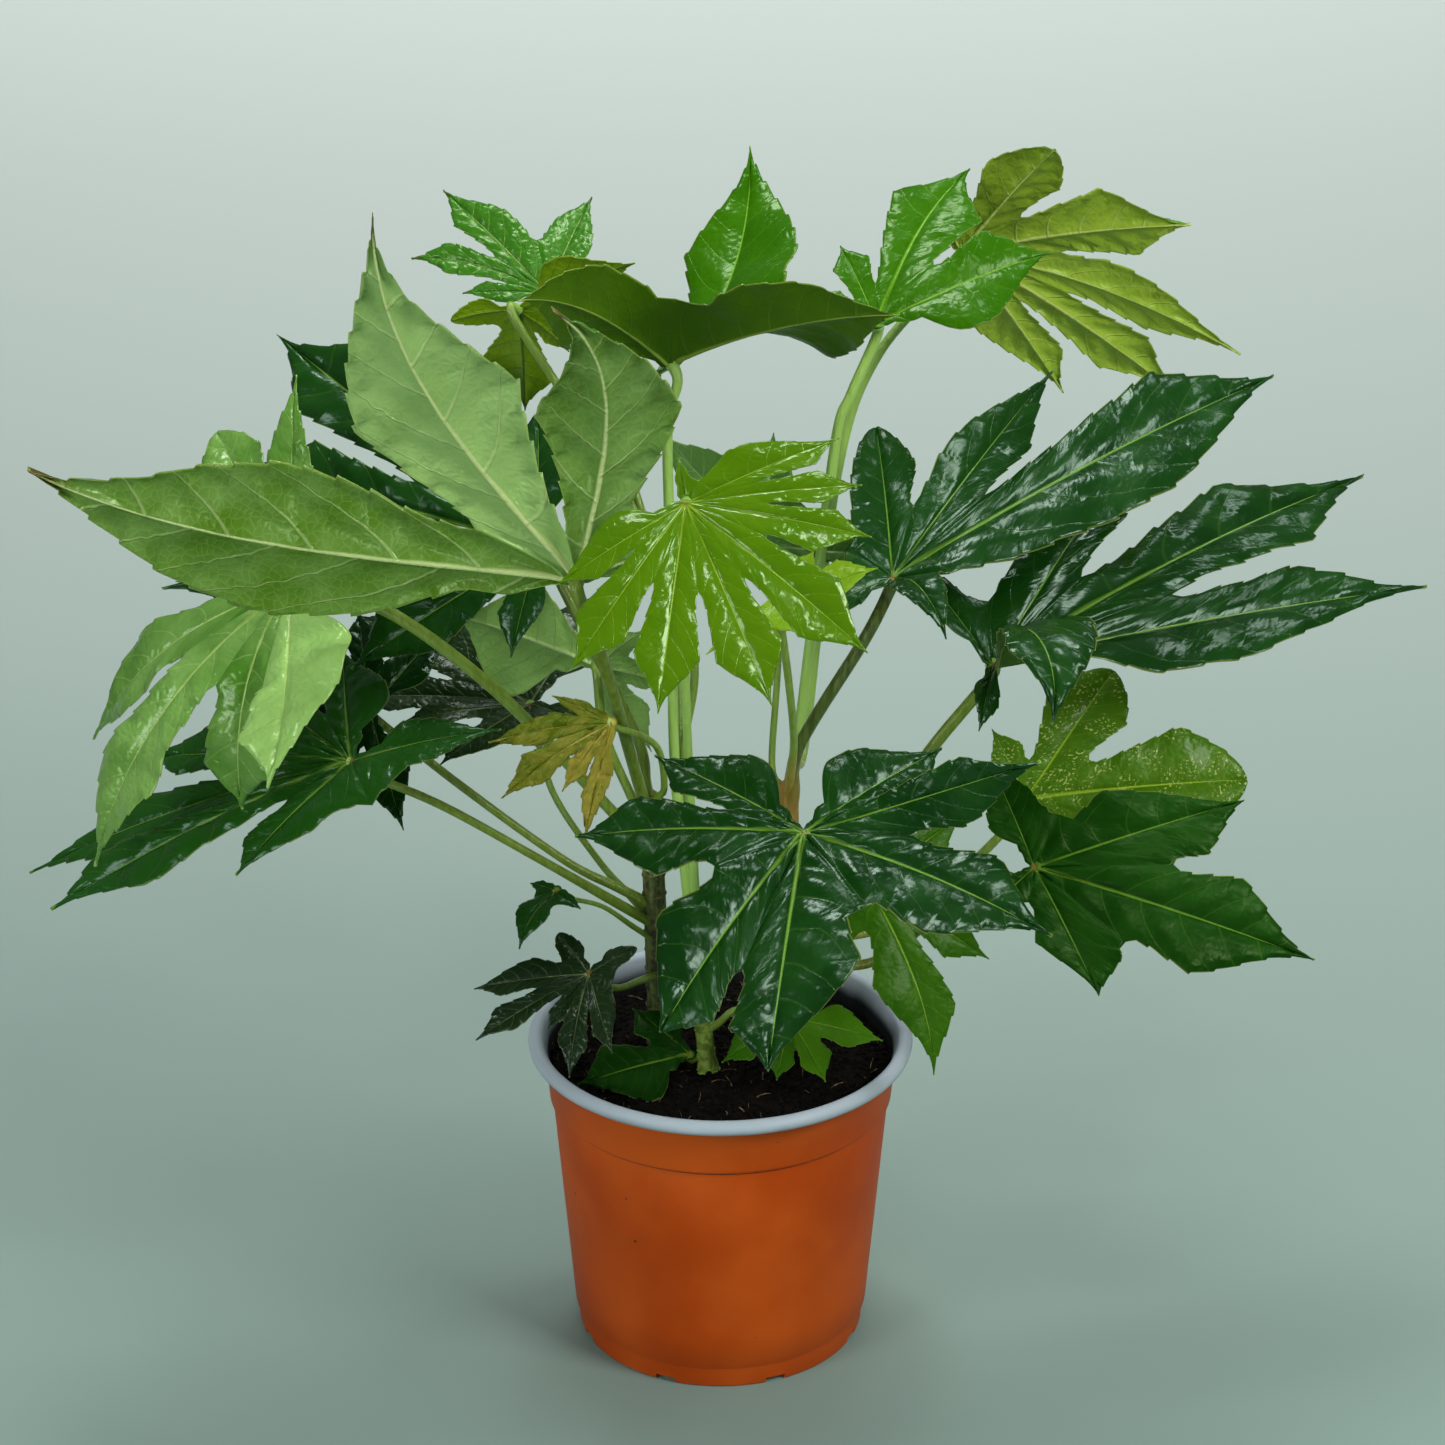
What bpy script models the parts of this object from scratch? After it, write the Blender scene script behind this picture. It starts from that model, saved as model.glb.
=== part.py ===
"""Fatsia japonica in a 19 cm nursery pot.

Sizes in this file are millimetres until a mesh is made, which turns them into metres. The origin is the
middle of the pot's underside, +Z is up and the plant's front faces -Y. Compass turns are degrees from +X
towards +Y.
"""

import math
from dataclasses import dataclass

import bmesh
import bpy
from mathutils import Matrix, Vector

MM = 0.001
TAU = 2 * math.pi
GAP = 0.3  # clearance between pieces that touch

# pot
POT_HEIGHT = 162.0
RIM_OUTER_RADIUS = 95.0
RIM_ROLL_RADIUS = 3.7
WALL = 1.2
WALL_TOP_RADIUS = 87.0
STEP_DOWN = 33.0  # from the top of the rim to the step under the collar
STEP_IN = 1.4
WALL_FOOT_RADIUS = 75.0
FOOT_HEIGHT = 11.0
FOOT_RADIUS = 71.5
FOOT_STEP = 1.5
INNER_FOOT_RADIUS = 69.8
FLOOR_HEIGHT = 4.5
CENTRE_PAD_RADIUS = 22.0
CHANNEL_RISE = 3.0
CHANNEL_OUTER_RADIUS = 62.0
POT_SIDES = 40
ROLL_FROM = 215.0
ROLL_SWEEP = 325.0
ROLL_STEPS = 7
SLOT_COUNT = 8
SLOT_WIDTH = 10.0
SLOT_HEIGHT = 3.0
DRAIN_COUNT = 4
DRAIN_RADIUS = 5.0
DRAIN_RING_RADIUS = 43.0
CUTTER_REACH = 12.0  # how far a cutter stands past what it cuts
CUTTER_HEIGHT = 30.0

# soil
SOIL_TOP = 145.0
SOIL_MOUND = 3.0
SOIL_RINGS = 4
SOIL_EDGE = 0.97  # outer ring of the mound, as a share of the soil's radius
STEM_HOLE_DEPTH = 30.0
HOLE_SIDES = 12

# stems
STEM_SIDES = 8
COLLAR_RISE = 3.0
COLLAR_SWELL = 1.25
STEM_TAPER = ((0.12, 1.0), (0.5, 0.94), (0.96, 0.86))  # share of the height and of the radius
STEM_TOP = (0.55, 0.15)  # radius at the top and at the end of its rounding
STEM_ROUNDING = 0.25

# blades
BLADE_THICKNESS = 0.8
PAD_RADIUS = 4.0  # flat disc over the end of the stalk
FOLD = 12.0  # rise of each half of a lobe beside its rib, in degrees
CURL = 12.0  # turn back down towards the edge, in degrees
PEAK = 0.3  # where a lobe is widest, as a share of its length past the sinus
TAPER = 0.9
BLUNT = 0.3  # taper of a lobe with a round end
TOOTH_OUT = 0.05
TOOTH_IN = 0.03
CLEARANCE = 0.16  # share of the room between two lobes that stays open
OPENING = 0.15  # share of a lobe past the sinus over which that room opens
SETTLING = 0.3  # share over which an edge that starts in a sinus finds its own curve
NECK_LEAST = 0.8  # a lobe stays this wide beside its sinus, as a share of its neck
WIDEST_SINUS = 1.2  # radians
FREE_BASE = 0.12  # share of a lobe over which a free edge leaves the pad
FREE_LEAST = 0.35
FREE_PAD = 0.8
PAD_CORNER = math.radians(50)
NARROW_PAD = 0.3  # radians between the last lobe and the first that leave room for one corner only

# stalks
STALK_STATION = 26.0
STALK_BASE = 1.25  # swelling where a stalk leaves its stem
STALK_SEAT = 3.5  # length of the last stretch, square to the blade, in stalk radii


@dataclass(frozen=True)
class Lobe:
    """One finger of a blade: its turn from the middle line, lift and droop in degrees, and its length."""

    turn: float
    length: float
    lift: float = 10.0
    droop: float = 20.0
    width: float = 1.0
    bend: float = 0.0
    twist: float = 0.0
    web: float = 0.42  # depth of the sinus after this lobe, as a share of the shorter neighbour
    peak: float = PEAK
    taper: float = TAPER


@dataclass(frozen=True)
class Stalk:
    """The stalk of one blade: the stem that it grows from and the points that it passes."""

    stem: str
    start: tuple
    way: tuple = ()
    radius: float = 2.4


@dataclass(frozen=True)
class Leaf:
    """One palmate blade: its hub, how its face leans, the compass turn of its middle line, and its lobes."""

    name: str
    tone: str
    hub: tuple
    lean: float
    toward: float
    heading: float
    width: float
    lobes: tuple
    stalk: Stalk
    rows: int = 5
    room: float = 1.0


@dataclass(frozen=True)
class Stem:
    """One woody stem standing in the soil."""

    name: str
    tone: str
    foot: tuple
    top: tuple
    radius: float


STEMS = (
    Stem("stem_left", "bark", (-30, 15), (-34, 12, 286), 6.0),
    Stem("stem_middle", "green_stem", (-6, -16), (-12, -8, 205), 4.5),
    Stem("stem_right", "bark", (34, 10), (33, 12, 292), 5.5),
)

LEAVES = (
    Leaf(
        "leaf_upright_left", "pale", (-65, -60, 426), 76, 95, -85, 0.165,
        (
            Lobe(-86, 248, 10, bend=12, web=0.23, peak=0.45, taper=0.8),
            Lobe(-38, 209, 10, width=1.15, bend=14, web=0.13, taper=1.0),
            Lobe(14, 158, 18, 50, width=1.4, bend=-18, web=0.3, taper=1.0),
            Lobe(70, 95, 10, 30),
        ),
        Stalk("stem_left", (-34, 12, 270), ((-39, 0, 295), (-55, -45, 383)), 3.0),
    ),
    Leaf(
        "leaf_dark_behind", "dark", (-85, 14, 412), 50, -110, 150, 0.22,
        (
            Lobe(-66, 70, 10),
            Lobe(-42, 120, 10),
            Lobe(-19, 180, 10, width=1.2),
            Lobe(3, 160, 10),
            Lobe(24, 188, 10),
            Lobe(50, 105, 5),
            Lobe(95, 50, 0),
        ),
        Stalk("stem_left", (-34, 12, 275), ((-40, 13, 314), (-66, 15, 372)), 2.6),
    ),
    Leaf(
        "leaf_yellow_top", "yellow", (-96, 80, 508), 65, 80, 90, 0.26,
        (
            Lobe(-130, 65, 10),
            Lobe(-50, 30, 15, 30),
            Lobe(-6, 64, 10, width=1.5),
            Lobe(72, 30, 5, 30, taper=BLUNT),
        ),
        Stalk("stem_middle", (-12, -8, 195), ((-18, 8, 305), (-14, 28, 358), (-50, 62, 429)), 2.1),
        rows=4,
    ),
    Leaf(
        "leaf_small_top", "pale", (-83, 100, 510), 40, -100, 140, 0.2,
        (
            Lobe(-70, 60, 0),
            Lobe(-12, 78, 10, width=0.9),
            Lobe(10, 68, 10, bend=8),
            Lobe(34, 38, 10, width=0.9),
        ),
        Stalk("stem_middle", (-11, -9, 198), ((-18, 15, 302), (-22, 42, 354), (-50, 74, 446)), 2.1),
        rows=4,
    ),
    Leaf(
        "leaf_top_middle", "bright", (-23, 50, 491), 38, 120, -90, 0.22,
        (
            Lobe(-33, 104, 42, 50, twist=60),
            Lobe(55, 131, -4, width=1.1, twist=-60),
            Lobe(134, 145, 30, -40, twist=60),
            Lobe(180, 50, 40),
            Lobe(205, 51, 11, width=1.3),
        ),
        Stalk("stem_middle", (-12, -8, 200), ((-22, 0, 309), (-23, 20, 383), (-25, 40, 460)), 2.5),
    ),
    Leaf(
        "leaf_top_right", "bright", (74, 60, 508), 30, -90, 60, 0.24,
        (
            Lobe(-32, 92, 10, width=1.2, twist=20),
            Lobe(12, 104, 3, 3, width=1.5, bend=-8),
            Lobe(50, 45, 15, width=1.2),
            Lobe(88, 30, 10, width=1.2),
        ),
        Stalk("stem_right", (33, 12, 286), ((38, 25, 312), (44, 35, 362), (55, 50, 453), (62, 55, 474)), 2.6),
    ),
    Leaf(
        "leaf_far_right", "pale", (119, 150, 515), 72, 90, -90, 0.2,
        (
            Lobe(-30, 45, 0),
            Lobe(35, 69, 10, width=1.5, taper=BLUNT),
            Lobe(82, 109, 10, width=1.2),
            Lobe(111, 150, 15, 40, width=0.5),
            Lobe(128, 138, 10, width=0.9),
            Lobe(148, 100, 10),
        ),
        Stalk("stem_right", (33, 13, 288), ((42, 50, 300), (57, 88, 422), (77, 104, 478)), 2.4),
    ),
    Leaf(
        "leaf_young_centre", "young", (-15, -110, 483), 50, -90, -80, 0.19,
        (
            Lobe(-66, 64),
            Lobe(-43, 87, peak=0.4),
            Lobe(-17, 93, peak=0.4),
            Lobe(12, 96, peak=0.4),
            Lobe(39, 101, peak=0.4),
            Lobe(69, 79),
            Lobe(86, 74, width=0.8),
            Lobe(104, 70),
            Lobe(180, 16, 34),
        ),
        Stalk("stem_middle", (-11, -10, 202), ((-15, -30, 321), (-16, -40, 358), (-17, -60, 416)), 2.2),
    ),
    Leaf(
        "leaf_front", "dark", (38, -100, 318), 30, -90, -90, 0.28,
        (
            Lobe(-122, 77, 10),
            Lobe(-89, 101, 12, 25),
            Lobe(-33, 117, 12, 35, width=1.1, web=0.66, peak=0.12, taper=0.6),
            Lobe(-8, 120, 13, 35, width=1.1, web=0.4, peak=0.15, taper=0.7),
            Lobe(66, 120, 10, 30, width=0.9, taper=1.0),
            Lobe(102, 109, 13, 0, width=0.6, twist=70),
            Lobe(126, 76, 10, width=1.1),
        ),
        Stalk("stem_middle", (-10, -12, 180), ((1, -30, 203), (23, -60, 264)), 2.6),
    ),
    Leaf(
        "leaf_drooping_left", "light", (-201, -4, 400), 30, -120, 180, 0.17,
        (
            Lobe(-71, 87, 31, width=1.4, taper=BLUNT),
            Lobe(-101, 100, 38, width=0.7),
            Lobe(-23, 63, 4, width=0.8),
            Lobe(13, 129, 8, 60),
            Lobe(35, 167, 4, 60, web=0.5),
            Lobe(62, 112, 7, 80, width=1.7, web=0.5),
            Lobe(91, 110, 12, 35, width=1.7, bend=-8),
        ),
        Stalk("stem_left", (-34, 12, 255), ((-52, 6, 278), (-106, -18, 353), (-159, -24, 398)), 2.9),
    ),
    Leaf(
        "leaf_low_left", "dark", (-175, -20, 317), 35, -130, 200, 0.2,
        (
            Lobe(-109, 67, 10, width=1.8),
            Lobe(-72, 78, 10, width=1.3),
            Lobe(-42, 114, 10),
            Lobe(-24, 181, 4, width=0.5),
            Lobe(-9, 159, 10),
            Lobe(17, 73, 10, width=1.3),
            Lobe(160, 70, 0),
        ),
        Stalk("stem_left", (-34, 12, 215), ((-88, -8, 260), (-134, -15, 292)), 2.1),
    ),
    Leaf(
        "leaf_glossy_left", "dark", (-169, 25, 323), 40, -110, 170, 0.22,
        (
            Lobe(-120, 60, 0),
            Lobe(-76, 53, 10),
            Lobe(-50, 54, 10),
            Lobe(-10, 35, 10),
            Lobe(67, 36, 10),
            Lobe(110, 60, 0),
        ),
        Stalk("stem_left", (-34, 12, 225), ((-76, 12, 249), (-126, 15, 288)), 2.1),
        rows=4,
    ),
    Leaf(
        "leaf_back_left", "shade", (-93, 50, 316), 30, -110, 180, 0.2,
        (
            Lobe(-120, 90, 0),
            Lobe(-39, 112, 10),
            Lobe(-12, 90, 10),
            Lobe(8, 60, 20),
            Lobe(30, 50, 5, width=1.3),
            Lobe(150, 30, 0),
        ),
        Stalk("stem_left", (-33, 13, 215), ((-60, 28, 241), (-83, 40, 274)), 1.7),
    ),
    Leaf(
        "leaf_inner_left", "grey", (-60, 30, 345), 80, 95, -90, 0.22,
        (
            Lobe(-60, 72, 10, width=2.3),
            Lobe(50, 28, 0),
            Lobe(110, 34, 0),
            Lobe(155, 50, 0),
        ),
        Stalk("stem_left", (-34, 13, 262), ((-44, 13, 285), (-56, 17, 315)), 2.3),
    ),
    Leaf(
        "leaf_right_upper", "dark", (81, 0, 403), 35, -80, 40, 0.14,
        (
            Lobe(-100, 56, 82, 130, width=1.4),
            Lobe(-4, 228, 10, width=1.05, peak=0.5, taper=0.8),
            Lobe(18, 141, 14, width=0.9, twist=50),
            Lobe(56, 82, 10, width=1.5, taper=BLUNT),
            Lobe(170, 50, 5, 30),
        ),
        Stalk("stem_right", (33, 12, 268), ((38, 5, 314), (68, 0, 371)), 3.0),
    ),
    Leaf(
        "leaf_right_middle", "dark", (130, 10, 354), 25, -70, 10, 0.13,
        (
            Lobe(-110, 50, 20),
            Lobe(-76, 112, 105, 150, width=2.0, bend=-10),
            Lobe(12, 234, 5, 10),
            Lobe(30, 250, 10, width=1.1),
            Lobe(52, 150, 25, width=0.9),
            Lobe(120, 70, 20),
        ),
        Stalk("stem_right", (34, 12, 235), ((73, 10, 266), (103, 8, 313)), 3.0),
    ),
    Leaf(
        "leaf_mottled_right", "mottled", (150, 30, 274), 50, -90, 20, 0.2,
        (
            Lobe(-60, 60, 0),
            Lobe(-15, 105, 10, width=1.5, taper=BLUNT),
            Lobe(36, 75, 10, width=1.5, taper=BLUNT),
            Lobe(95, 35, 10, width=1.4),
        ),
        Stalk("stem_right", (34, 12, 200), ((89, 20, 212), (130, 25, 248)), 2.3),
    ),
    Leaf(
        "leaf_low_right", "dark", (149, -40, 271), 50, -90, 0, 0.24,
        (
            Lobe(-137, 32, 10, width=1.7),
            Lobe(-65, 65, 10, width=1.2, web=0.8, peak=0.15),
            Lobe(-19, 135, 10, web=0.6, peak=0.15),
            Lobe(18, 102, 10, peak=0.15, taper=0.8),
            Lobe(110, 55, 0),
        ),
        Stalk("stem_right", (34, 11, 190), ((78, 0, 201), (115, -20, 244)), 2.4),
    ),
    Leaf(
        "leaf_hanging_right", "mid", (70, -40, 263), 60, -80, -50, 0.2,
        (
            Lobe(-70, 45, 0),
            Lobe(-8, 93, 10, width=1.1, bend=-8),
            Lobe(24, 66, 6),
            Lobe(90, 55, 0),
        ),
        Stalk("stem_right", (34, 9, 180), ((53, -10, 211),), 2.1),
    ),
    Leaf(
        "leaf_small_rim", "shade", (-63, -45, 217), 35, -110, 200, 0.2,
        (
            Lobe(-80, 24, 10, width=1.2, taper=BLUNT),
            Lobe(-18, 52, 15),
            Lobe(6, 59, 10),
            Lobe(30, 30, 5),
            Lobe(58, 53, 20, 40),
            Lobe(82, 43, 20, 40),
            Lobe(182, 22, 10, width=1.2, taper=BLUNT),
        ),
        Stalk("stem_left", (-31, 14, 185), ((-50, -28, 200),), 1.6),
        rows=3,
    ),
    Leaf(
        "leaf_on_soil", "dark", (-15, -15, 156), 25, -90, -170, 0.26,
        (
            Lobe(-54, 36, 10, width=1.3),
            Lobe(9, 54, 10, width=1.7),
        ),
        Stalk("stem_middle", (-7, -16, 158), (), 1.5),
        rows=3,
    ),
    Leaf(
        "leaf_in_pot", "mid", (34, -20, 179), 30, -90, -90, 0.27,
        (
            Lobe(-53, 38, 10, width=1.1),
            Lobe(-11, 32, 10),
            Lobe(25, 36, 10),
            Lobe(74, 43, 10),
        ),
        Stalk("stem_middle", (-8, -14, 168), ((10, -20, 184),), 1.6),
        rows=3,
    ),
    Leaf(
        "leaf_small_yellow", "yellow", (27, -40, 408), 40, -90, -30, 0.2,
        (
            Lobe(-110, 40, 10),
            Lobe(50, 45, 10, width=1.2),
            Lobe(90, 30, 0),
            Lobe(155, 16, 10),
        ),
        Stalk("stem_right", (33, 10, 284), ((35, -5, 322), (32, -20, 359)), 1.9),
        rows=3,
    ),
    Leaf(
        "leaf_grey_centre", "grey", (22, 60, 395), 55, -90, 90, 0.22,
        (
            Lobe(-120, 47, 10),
            Lobe(-96, 74, 10),
            Lobe(-4, 53, 10),
            Lobe(43, 73, 10),
        ),
        Stalk("stem_right", (32, 14, 280), ((25, 25, 296), (28, 40, 354)), 1.7),
        rows=4,
    ),
    Leaf(
        "leaf_withered", "withered", (-51, -37, 345), 50, -90, 180, 0.16,
        (
            Lobe(-25, 27, 15, 30, width=0.8),
            Lobe(10, 56, 30, 60, width=0.8),
            Lobe(36, 62, 35, 70),
            Lobe(58, 40, 37, 50, width=0.8),
            Lobe(78, 56, 25, 60, width=0.7),
        ),
        Stalk("stem_left", (-34, 11, 280), ((-27, 0, 294), (-31, -10, 321)), 1.7),
        rows=4,
    ),
    Leaf(
        "leaf_sliver", "dark", (-79, -25, 251), 30, -130, 200, 0.2,
        (
            Lobe(-60, 14, 0),
            Lobe(37, 34, 35, 70, width=1.4),
            Lobe(110, 14, 0),
        ),
        Stalk("stem_left", (-33, 13, 205), ((-58, -15, 238),), 1.2),
        rows=3,
    ),
)

TONES = {
    "pale": (0.10, 0.20, 0.045, 0.5),
    "dark": (0.012, 0.075, 0.018, 0.3),
    "yellow": (0.20, 0.33, 0.012, 0.45),
    "bright": (0.045, 0.25, 0.015, 0.35),
    "young": (0.19, 0.42, 0.012, 0.35),
    "light": (0.14, 0.32, 0.05, 0.35),
    "shade": (0.02, 0.055, 0.02, 0.4),
    "grey": (0.07, 0.14, 0.08, 0.5),
    "mottled": (0.11, 0.24, 0.02, 0.45),
    "mid": (0.03, 0.16, 0.02, 0.4),
    "withered": (0.19, 0.17, 0.03, 0.7),
    "bark": (0.07, 0.075, 0.025, 0.7),
    "green_stem": (0.17, 0.26, 0.03, 0.5),
    "terracotta": (0.43, 0.08, 0.02, 0.55),
    "peat": (0.012, 0.009, 0.007, 0.95),
}


def material(tone):
    """The Principled material of one tone."""
    made = bpy.data.materials.get(tone)
    if made:
        return made
    red, green, blue, roughness = TONES[tone]
    made = bpy.data.materials.new(tone)
    made.use_nodes = True
    shader = made.node_tree.nodes["Principled BSDF"]
    shader.inputs["Base Color"].default_value = (red, green, blue, 1.0)
    shader.inputs["Roughness"].default_value = roughness
    shader.inputs["Metallic"].default_value = 0.0
    return made


def add_object(name, data, tone=None):
    """An object in the scene, with its material."""
    made = bpy.data.objects.new(name, data)
    bpy.context.scene.collection.objects.link(made)
    if tone:
        made.data.materials.append(material(tone))
    return made


def mesh_from(name, points, faces):
    """A mesh from points in millimetres."""
    mesh = bpy.data.meshes.new(name)
    mesh.from_pydata([Vector(point) * MM for point in points], [], faces)
    mesh.update()
    return mesh


def cutter(name, mesh):
    """An object that only cuts another."""
    made = add_object(name, mesh)
    made.hide_render = True
    made.display_type = "WIRE"
    return made


def apply_modifiers(target):
    """Turns the evaluated shape into the object's own mesh."""
    graph = bpy.context.evaluated_depsgraph_get()
    mesh = bpy.data.meshes.new_from_object(target.evaluated_get(graph))
    target.modifiers.clear()
    target.data = mesh


def boolean(target, others, operation):
    """One Boolean of the target with a group of others, applied, with the others removed."""
    group = bpy.data.collections.new("operands")
    bpy.context.scene.collection.children.link(group)
    for other in others:
        bpy.context.scene.collection.objects.unlink(other)
        group.objects.link(other)
    modifier = target.modifiers.new("Boolean", "BOOLEAN")
    modifier.operation = operation
    modifier.operand_type = "COLLECTION"
    modifier.collection = group
    modifier.solver = "EXACT"
    apply_modifiers(target)
    for other in others:
        bpy.data.objects.remove(other, do_unlink=True)
    bpy.data.collections.remove(group)


def shade(target, angle=40):
    """Smooth shading with sharp corners past an angle in degrees."""
    target.data.shade_smooth()
    target.data.set_sharp_from_angle(angle=math.radians(angle))


def direction(turn):
    """Unit vector in the level plane at a turn in radians."""
    return Vector((math.cos(turn), math.sin(turn), 0))


def blade_matrix(leaf):
    """Takes a blade from its own flat frame to its place, its lean and its heading."""
    axis = direction(math.radians(leaf.toward + 90))
    lean = Matrix.Rotation(math.radians(leaf.lean), 4, axis)
    heading = Matrix.Rotation(math.radians(leaf.heading), 4, "Z")
    return Matrix.Translation(Vector(leaf.hub) * MM) @ lean @ heading


def half_width(share, peak, taper):
    """Half width of a lobe, as a share of its widest, at a share of its length past the sinus."""
    if share < peak:
        return math.sin(share / peak * math.pi / 2)
    fall = (share - peak) / (1 - peak)
    return ((1 + math.cos(math.pi * fall)) / 2) ** taper


class Finger:
    """The midrib of one lobe as an arc in space, and the points beside it."""

    def __init__(self, lobe, leaf_width):
        self.turn = math.radians(lobe.turn)
        self.length = lobe.length
        self.lift = math.radians(lobe.lift)
        self.droop = math.radians(lobe.droop or 0.01)
        self.bend = math.radians(lobe.bend)
        self.twist = math.radians(lobe.twist)
        self.width = leaf_width * lobe.length * lobe.width
        self.peak = lobe.peak
        self.taper = lobe.taper

    def rib(self, s):
        """Point on the midrib at a share of its length."""
        climb = self.lift - self.droop * s
        out = PAD_RADIUS + self.length * (math.sin(self.lift) - math.sin(climb)) / self.droop
        up = self.length * (math.cos(climb) - math.cos(self.lift)) / self.droop
        return direction(self.turn + self.bend * s * s) * out + Vector((0, 0, up))

    def beside(self, s, side, distance):
        """Point at a distance to one side of the midrib, +1 being the side of the next lobe."""
        climb = self.lift - self.droop * s
        ahead = self.turn + 3 * self.bend * s * s
        along = direction(ahead) * math.cos(climb) + Vector((0, 0, math.sin(climb)))
        level = direction(ahead + math.pi / 2)
        normal = along.cross(level)
        cos, sin = math.cos(self.twist * s), math.sin(self.twist * s)
        across, normal = level * cos + normal * sin, normal * cos - level * sin
        rise = math.radians(FOLD - CURL / 2) * min(3 * s, 1)
        return self.rib(s) + distance * (across * side * math.cos(rise) + normal * math.sin(rise))


class Blade:
    """The middle surface of a palmate blade as points and triangles, in its own flat frame."""

    def __init__(self, leaf):
        lobes = sorted(leaf.lobes, key=lambda lobe: lobe.turn)
        self.rows = leaf.rows
        self.room = leaf.room
        self.webs = [lobe.web for lobe in lobes]
        self.fingers = [Finger(lobe, leaf.width) for lobe in lobes]
        self.points = [Vector((0, 0, 0))]
        self.triangles = []
        self.sinuses = [self.sinus(i) for i in range(len(lobes) - 1)]
        self.seams = [[self.add(point) for point in self.seam(i)] for i in range(len(lobes) - 1)]
        lobe_rows = [self.add_lobe(i) for i in range(len(lobes))]
        self.close_pad(lobe_rows[-1][0][2], lobe_rows[0][0][0])

    def add(self, point):
        """Adds a point and gives its number."""
        self.points.append(point)
        return len(self.points) - 1

    def sinus(self, i):
        """The bottom of the notch after lobe i, and how far along its two neighbours that is."""
        left, right = self.fingers[i], self.fingers[i + 1]
        half = (right.turn - left.turn) / 2
        depth = self.webs[i] * min(left.length, right.length)
        reach = (depth + PAD_RADIUS) * math.sin(min(half, WIDEST_SINUS))
        shares = depth * math.cos(half) / left.length, depth * math.cos(half) / right.length
        point = (left.beside(shares[0], 1, reach) + right.beside(shares[1], -1, reach)) / 2
        return point, shares

    def seam(self, i):
        """The points that lobes i and i + 1 share, at the pad and at the sinus."""
        middle = (self.fingers[i].turn + self.fingers[i + 1].turn) / 2
        return direction(middle) * PAD_RADIUS, self.sinuses[i][0]

    def neighbours(self, i):
        """The seams on the two sides of lobe i, None where the side is free."""
        return {-1: i - 1 if i > 0 else None, 1: i if i < len(self.sinuses) else None}

    def start(self, i, side, seam):
        """How far along lobe i the sinus on that side is."""
        return self.sinuses[seam][1][0 if side > 0 else 1]

    def free_edge(self, finger, s, side):
        """Edge of a lobe on a side that has no neighbour."""
        swell = half_width(max(s - FREE_BASE, 0) / (1 - FREE_BASE), finger.peak, finger.taper)
        least = FREE_LEAST * min(s / FREE_BASE, 1 - s)
        wide = max(FREE_PAD * PAD_RADIUS * (1 - s), finger.width * max(swell, least))
        return finger.beside(s, side, wide)

    def cut_edge(self, i, side, seam, share, tooth):
        """Edge of lobe i at a share of its length past the sinus on that side."""
        finger = self.fingers[i]
        point = self.sinuses[seam][0]
        start = self.start(i, side, seam)
        s = start + (1 - start) * share
        neck = (point - finger.rib(start)).length
        swell = half_width(share, finger.peak, finger.taper)
        wide = neck + (finger.width - neck) * swell if share < finger.peak else finger.width * swell
        half = min((self.fingers[seam + 1].turn - self.fingers[seam].turn) / 2, WIDEST_SINUS)
        opening = 1 + (self.room * (1 - CLEARANCE) - 1) * min(share / OPENING, 1)
        room = (PAD_RADIUS + s * finger.length) * math.sin(half) * opening
        wide = min(wide, max(room, NECK_LEAST * neck)) * tooth
        settle = max(0.0, 1 - share / SETTLING) ** 2
        return finger.beside(s, side, wide) + settle * (point - finger.beside(start, side, neck))

    def add_row(self, i, row):
        """One row across lobe i, edge to edge: 0 at the pad, 1 at the sinus, the last at the tip."""
        finger = self.fingers[i]
        sides = self.neighbours(i)
        starts = [self.start(i, side, seam) for side, seam in sides.items() if seam is not None]
        start = sum(starts) / len(starts)
        share = max(row - 1, 0) / self.rows
        s = 0 if row == 0 else start + (1 - start) * share
        middle = self.add(finger.rib(s))
        if row > self.rows:
            return [middle] * 3
        tooth = 1 + (TOOTH_OUT if row % 2 == 0 else -TOOTH_IN)
        ends = []
        for side, seam in sides.items():
            if seam is None:
                ends.append(self.add(self.free_edge(finger, s, side)))
            elif row < 2:
                ends.append(self.seams[seam][row])
            else:
                ends.append(self.add(self.cut_edge(i, side, seam, share, tooth)))
        return [ends[0], middle, ends[1]]

    def add_lobe(self, i):
        """The rows of lobe i and the triangles between them, from the hub to the tip."""
        rows = [self.add_row(i, row) for row in range(self.rows + 2)]
        near = rows[0]
        self.triangles += [(0, near[0], near[1]), (0, near[1], near[2])]
        for low, high in zip(rows[:-2], rows[1:-1]):
            self.triangles += [(low[0], high[0], high[1]), (low[0], high[1], low[1])]
            self.triangles += [(low[1], high[1], low[2]), (high[1], high[2], low[2])]
        low, tip = rows[-2], rows[-1][1]
        self.triangles += [(low[0], tip, low[1]), (low[1], tip, low[2])]
        return rows

    def close_pad(self, last, first):
        """Fills the disc over the stalk between the last lobe and the first."""
        start = self.fingers[-1].turn + PAD_CORNER
        end = self.fingers[0].turn - PAD_CORNER + TAU
        turns = [start + (end - start) * share for share in (0, 0.5, 1)]
        radius = FREE_PAD * PAD_RADIUS
        if end - start < NARROW_PAD:
            turns = [(start + end) / 2]
            radius = 0.5 * PAD_RADIUS
        ring = [last] + [self.add(direction(turn) * radius) for turn in turns] + [first]
        self.triangles += [(0, a, b) for a, b in zip(ring, ring[1:])]


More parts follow.
